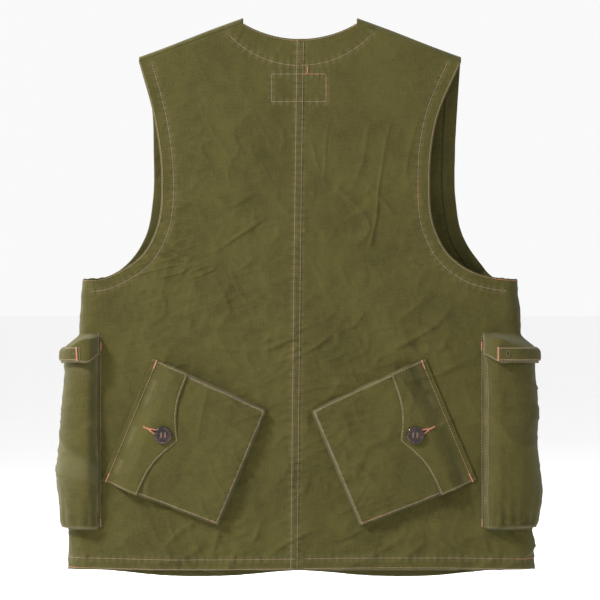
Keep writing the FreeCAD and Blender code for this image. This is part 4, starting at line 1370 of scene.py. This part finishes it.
# %% Side pockets
for name, side in SIDES.items():
    z_mid = (SIDE_TOP + SIDE_BOTTOM) / 2
    rear = round_to(z_mid, 0.0, lambda p: p[:, 0] > SIDE_REAR[name])
    fore = round_to(z_mid, 0.0, lambda p: p[:, 1] > SIDE_FRONT[name])
    width, depth = fore - rear, SIDE_HINGE - SIDE_BOTTOM
    seed = 600 + side * 30
    u, rise_u = walled(width, 34)
    v, rise_v = walled(depth - MOUTH, 96, both=False)
    v = v + (depth + MOUTH) / 2
    grid_u, grid_v = np.meshgrid(u, v)
    full = SIDE_RISE[name]
    rise_u = 0.04 + 0.96 * np.sin(np.pi / 2 * np.clip((u + width / 2 + 1) / full, 0, 1)) ** 0.8
    rise_u = rise_u * np.where(u > width / 2 - 4, np.clip((width / 2 + 1 - u) / 5, 0.03, 1), 1)
    share = rise_u[None] * rise_v[:, None]
    far = np.clip((grid_v - MOUTH) / (depth - MOUTH), 0, 1)
    gap = np.minimum(width / 2 - np.abs(grid_u), depth - grid_v)
    folds = 4.6 * creases(grid_u, grid_v, 0.85 * side, 60, 20, seed)
    folds = folds + 2.6 * creases(grid_u, grid_v, 0.2, 40, 16, seed + 1)
    folds = folds + 3.4 * creases(grid_u, grid_v, -0.6, 55, 18, seed + 2) * step(far, 0.35, 0.8)
    taper = -5.5 * step(far, 0.72, 1.0) * step(grid_u, -10, 20)
    sag = 2.2 * np.sin(np.pi * far) ** 0.7 * np.cos(np.pi * np.clip(grid_u / width, -0.5, 0.5))
    slack = 2.2 * noise(grid_u / 30, grid_v / 38, seed + 3)
    gather = 1.5 * np.sin(2 * np.pi * grid_u / 9.5 + 2 * noise(grid_u / 20, grid_v / 50, seed + 4))
    gather = gather * np.exp(-(depth - grid_v) / 22) * step(gap, 0, 7)
    corner = -3.2 * np.exp(-(((np.abs(grid_u) - width / 2) / 14) ** 2 + ((grid_v - depth) / 18) ** 2))
    seam = -0.6 * np.exp(-((gap - 2.4) / 1.6) ** 2)
    near = np.exp(-((grid_v - MOUTH) / 22) ** 2)
    loose = (folds + slack + gather + corner) * (1 - 0.75 * near) + sag + seam + taper
    lift = 0.4 + share * (SIDE_STAND - 1.6 + loose + 0.6 * crumple(grid_u, grid_v, seed + 5)) - near * share
    swing = 1.3 * noise(grid_v / 34, 0.3, seed + 6) + 0.8 * noise(grid_v / 11, 5.3, seed + 7)
    plane = side_plane(side)
    centre = (rear + fore) / 2
    points = plane(centre + grid_u + swing * (np.abs(grid_u) / width * 2) ** 2, SIDE_HINGE - grid_v, lift)
    flat_u, flat_v = unrolled(u, rise_u, SIDE_STAND), unrolled(v, rise_v, SIDE_STAND)
    flat = np.stack(np.meshgrid(flat_u * 1.1, -flat_v), -1)
    wear = 0.85 * np.exp(-((gap - 0.8) / 1.6) ** 2) * (0.6 + 0.4 * noise(grid_u / 9, grid_v / 9, seed + 8))
    # Crease ridges painted paler: partly rubbed wear, partly a painted highlight that picks out the folds.
    wear = np.maximum(wear, 0.35 * creases(grid_u, grid_v, 0.85 * side, 60, 20, seed))
    piece = cloth(
        f"side_pouch_{name}", points, flat, np.clip(wear, 0, 1) * (share > 0.1), thick=0.8,
        reference=np.array([side * 200.0, 0.0, -470.0]))
    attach(piece, "vest")
    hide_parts(f"side_pocket_{name}")
    declare(flat)

    sewn = Thread()

    def edge_skin(s, z, lift=0.0):
        """The body's surface beside the pocket, for the row that holds its rear edge down."""
        return plane(s, z, 0.45 + lift)
    row = rear - SIDE_ROW
    sewn.run(edge_skin, np.array([(row, SIDE_HINGE + 1), (row, SIDE_BOTTOM + 3)]))
    column = 7
    line = points[8:-5, column]
    normal = np.cross(points[9:-4, column] - points[7:-6, column],
                      points[8:-5, column + 1] - points[8:-5, column - 1])
    outwards = (line - [side * 200.0, 0.0, 0.0]) * [1, 1, 0]
    normal = normal * np.sign((normal * outwards).sum(-1, keepdims=True))
    normal = normal / np.linalg.norm(normal, axis=1)[:, None]

    def wall_skin(a, b, lift=0.0):
        """A line on the pocket's own rear face, followed by its points."""
        picks = [np.interp(b, np.arange(len(line)), (line + normal * (0.15 + lift))[:, k]) for k in range(3)]
        return np.stack(picks, -1)
    sewn.run(wall_skin, np.array([(0.0, 0.0), (0.0, len(line) - 1.0)]), tint=0.1)
    sewn.satin(edge_skin, np.array([(row, SIDE_TOP - 6), (row, SIDE_TOP + 3)]), 2.0)
    sewn.satin(edge_skin, np.array([(row, SIDE_BOTTOM + 2), (row, SIDE_BOTTOM + 10)]), 2.0, tint=0.4)
    sewn.build(f"side_pouch_stitches_{name}", "vest")

# %% [markdown]
# ## Side flaps and their straps
# The side flap is sewn high up, puffs out over the bag and folds down. A short strap across its lower edge
# carries the buttonhole.
# It is made round the corner, and the strap is a piece of its own that rides with it. The button stays hidden
# under the flap, so this buttonhole is only its ring of thread, on cloth that isn't cut.

# %% Side flaps
for name, side in SIDES.items():
    seed = 700 + side * 30
    plane = side_plane(side)
    rear = round_to(SIDE_HINGE, 0.0, lambda p: p[:, 0] > SIDE_REAR[name]) - 1.5
    fore = round_to(SIDE_HINGE, SIDE_FLAP_LIFT, lambda p: p[:, 1] > SIDE_FLAP_END)
    width = fore - rear
    button_s = round_to(SIDE_BUTTON[name][1], 18.0, lambda p: p[:, 0] > SIDE_BUTTON[name][0])
    reach_rear, reach_fore = 22.0, 31.0

    def depth_at(s):
        """How far the flap reaches down: least at its rear end, with a rounded corner there."""
        t = np.clip((s - rear) / width, 0, 1)
        return reach_rear + (reach_fore - reach_rear) * step(t, 0.0, 0.45) + 0.7 * np.sin(7 * t)

    def height(s, v):
        """Lift of the flap: from the seam it rises steeply, puffs, and settles over the bag."""
        t = np.clip((s - rear) / width, 0, 1)
        turn = np.clip((s - rear) / (SIDE_RISE[name] + 1), 0, 1)
        top = 3.0 + (SIDE_FLAP_LIFT - 2.1) * np.sin(np.pi / 2 * turn) ** 0.8
        puff = 1.0 * np.exp(-((v - 5) / 4.5) ** 2)
        settled = (top - 0.9 + puff) * step(v, -3.5, 4.0 + 15.0 * step(t, 0.35, 0.95))
        return 0.9 + settled + 0.7 * noise(s / 16, v / 14, seed) * step(v, 0, 6)

    u = np.linspace(rear, fore, 60)
    t = np.concatenate([np.linspace(-4.0, 5.0, 14), np.linspace(6.5, 100, 24)])
    grid_u, grid_t = np.meshgrid(u, t)
    reach = depth_at(grid_u)
    grid_v = np.where(grid_t <= 5, grid_t, 5 + (grid_t - 5) / 95 * (reach - 5))
    quiet = np.exp(-((grid_u - button_s) / 14) ** 2 - ((grid_v - 20) / 12) ** 2)
    limp = 0.9 * creases(grid_u, grid_v, 0.5, 30, 12, seed + 1) + 0.4 * crumple(grid_u, grid_v, seed + 2)
    lift = height(grid_u, grid_v) + limp * step(grid_v, 2, 8) * (1 - 0.8 * quiet)
    points = plane(grid_u, SIDE_HINGE - grid_v, lift)
    gap = np.minimum(np.minimum(grid_u - rear, fore - grid_u), reach - grid_v)
    wear = np.exp(-((gap - 0.3) / 1.3) ** 2) * 0.9
    flat = laid_flat(points)
    piece = cloth(
        f"side_flap_cloth_{name}", points, flat, np.clip(wear, 0, 1), thick=1.1,
        reference=np.array([side * 200.0, 0.0, -390.0]))
    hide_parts(f"side_flap_{name}", f"side_flap_root_{name}")
    declare(flat)
    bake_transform(piece)

    def skin(s, z, lift=0.0):
        """The flap's surface over distance round and height, for its stitches and strap."""
        v = SIDE_HINGE - z
        return plane(s, z, height(s, v) + 0.25 + lift)

    u = np.linspace(max(rear + 14, button_s - 16), fore + 1.2, 44)
    v = np.linspace(SIDE_HINGE - 12.5, SIDE_HINGE - 28.5, 20)[:, None]
    grid_u, grid_v = np.meshgrid(u, v[:, 0])
    edge_gap = np.minimum(grid_u - u[0], np.minimum(v[0] - grid_v, grid_v - v[-1]))
    lift = 0.55 + 0.75 * step(edge_gap, 0, 2.5) + 0.15 * np.sin(grid_u / 5)
    points = skin(grid_u, grid_v, lift)
    flat = laid_flat(points)
    wear = 0.9 * np.exp(-edge_gap / 1.1)
    strap = cloth(
        f"side_strap_{name}", points, flat, np.clip(wear, 0, 1), thick=0.9,
        reference=np.array([side * 200.0, 0.0, -390.0]))
    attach(strap, f"side_flap_{name}")
    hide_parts(f"side_flap_tab_{name}")
    declare(flat)

    sewn = Thread()
    low = np.linspace(rear + 2, fore - 1, 60)
    sewn.run(skin, np.stack([low, SIDE_HINGE - depth_at(low) + 2.1], -1), tint=0.1)
    x0, x1 = u[0] + 1.6, u[-1] - 0.5
    z0, z1 = v[0, 0] - 1.6, v[-1, 0] + 1.6

    def strap_skin(s, z, lift=0.0):
        """The strap's surface, for its stitches."""
        return skin(s, z, 1.3 + lift)
    sewn.run(strap_skin, np.array([(x1, z0), (x0, z0), (x0, z1), (x1, z1)]), tint=0.15)
    sewn.satin(strap_skin, np.array([(x0, z0 + 1.2), (x0, z1 - 1.2)]), 2.2, lift=0.6)
    ring = np.linspace(0, 2 * np.pi, 30)
    oval = np.stack([button_s + 2.2 * np.cos(ring), SIDE_BUTTON[name][1] + 3.6 * np.sin(ring)], -1)
    bound = Thread()
    bound.satin(strap_skin, oval, 1.7, tint=0.2)
    bound.build(f"side_buttonhole_{name}", f"side_flap_{name}", OLIVE_THREAD)
    sewn.build(f"side_flap_topstitching_{name}", f"side_flap_{name}")
    print(name, "side flap", round(width), "mm wide")

# %% [markdown]
# ## Floor, light and camera
# The vest hangs above a pale floor. Cloth shows its folds when the light rakes across it, so the key light
# stands high to the left, and a large weak one fills from the right. A white sky keeps the shadows soft.
# The camera looks straight at the back through a long lens, which keeps the outline free of perspective.

# %% Floor
floor_material, floor_tree, floor_shader = principled("pale_floor")
floor_place = node(floor_tree, "ShaderNodeTexCoord")
floor_fleck = sized_noise(floor_tree, floor_place.outputs["Object"], 2.0)
floor_tone = blend_colour(floor_tree, floor_fleck, (0.93, 0.93, 0.93, 1), (0.96, 0.96, 0.96, 1))
link(floor_tree, floor_tone, floor_shader.inputs["Base Color"])
floor_shader.inputs["Roughness"].default_value = 0.8
FLOOR_Z = -760.0
span = np.linspace(-90000, 90000, 5)
floor_x, floor_y = np.meshgrid(span, span)
floor_points = np.stack([floor_x, floor_y, np.full_like(floor_x, FLOOR_Z)], -1)
floor = new_object("floor", floor_points.reshape(-1, 3), grid_faces(5, 5), floor_material)

# %% Lights and sky
def area_light(name, place, target, size, power):
    """A square lamp at a place, turned to face a target; places in metres."""
    lamp = bpy.data.lights.new(name, "AREA")
    lamp.size = size
    lamp.energy = power
    obj = bpy.data.objects.new(name, lamp)
    obj.location = place
    way = Vector(target) - Vector(place)
    obj.rotation_euler = way.to_track_quat("-Z", "Y").to_euler()
    bpy.context.scene.collection.objects.link(obj)


middle = (0.0, 0.0, -0.32)
area_light("key_back", (-2.1, -1.35, 1.5), middle, 0.55, 190)
area_light("fill_back", (1.8, -2.2, 0.2), middle, 2.0, 6)
area_light("key_front", (-1.9, 1.6, 1.3), middle, 0.8, 130)
world = bpy.data.worlds.new("studio_white")
world.use_nodes = True
world.node_tree.nodes["Background"].inputs["Color"].default_value = (1, 1, 1, 1)
world.node_tree.nodes["Background"].inputs["Strength"].default_value = 0.95
bpy.context.scene.world = world
bpy.context.scene.view_settings.view_transform = "Standard"

# %% Camera
DISTANCE = 4.0
FRAME_WIDTH = 0.690
lens = bpy.data.cameras.new("camera")
lens.sensor_width = 36.0
lens.lens = 36.0 * DISTANCE / FRAME_WIDTH
camera = bpy.data.objects.new("camera", lens)
camera.location = (0.0, -DISTANCE - 0.025, -0.3197)
camera.rotation_euler = (np.pi / 2, 0, 0)
bpy.context.scene.collection.objects.link(camera)
bpy.context.scene.camera = camera
print(f"camera {DISTANCE} m away, lens {lens.lens:.0f} mm")
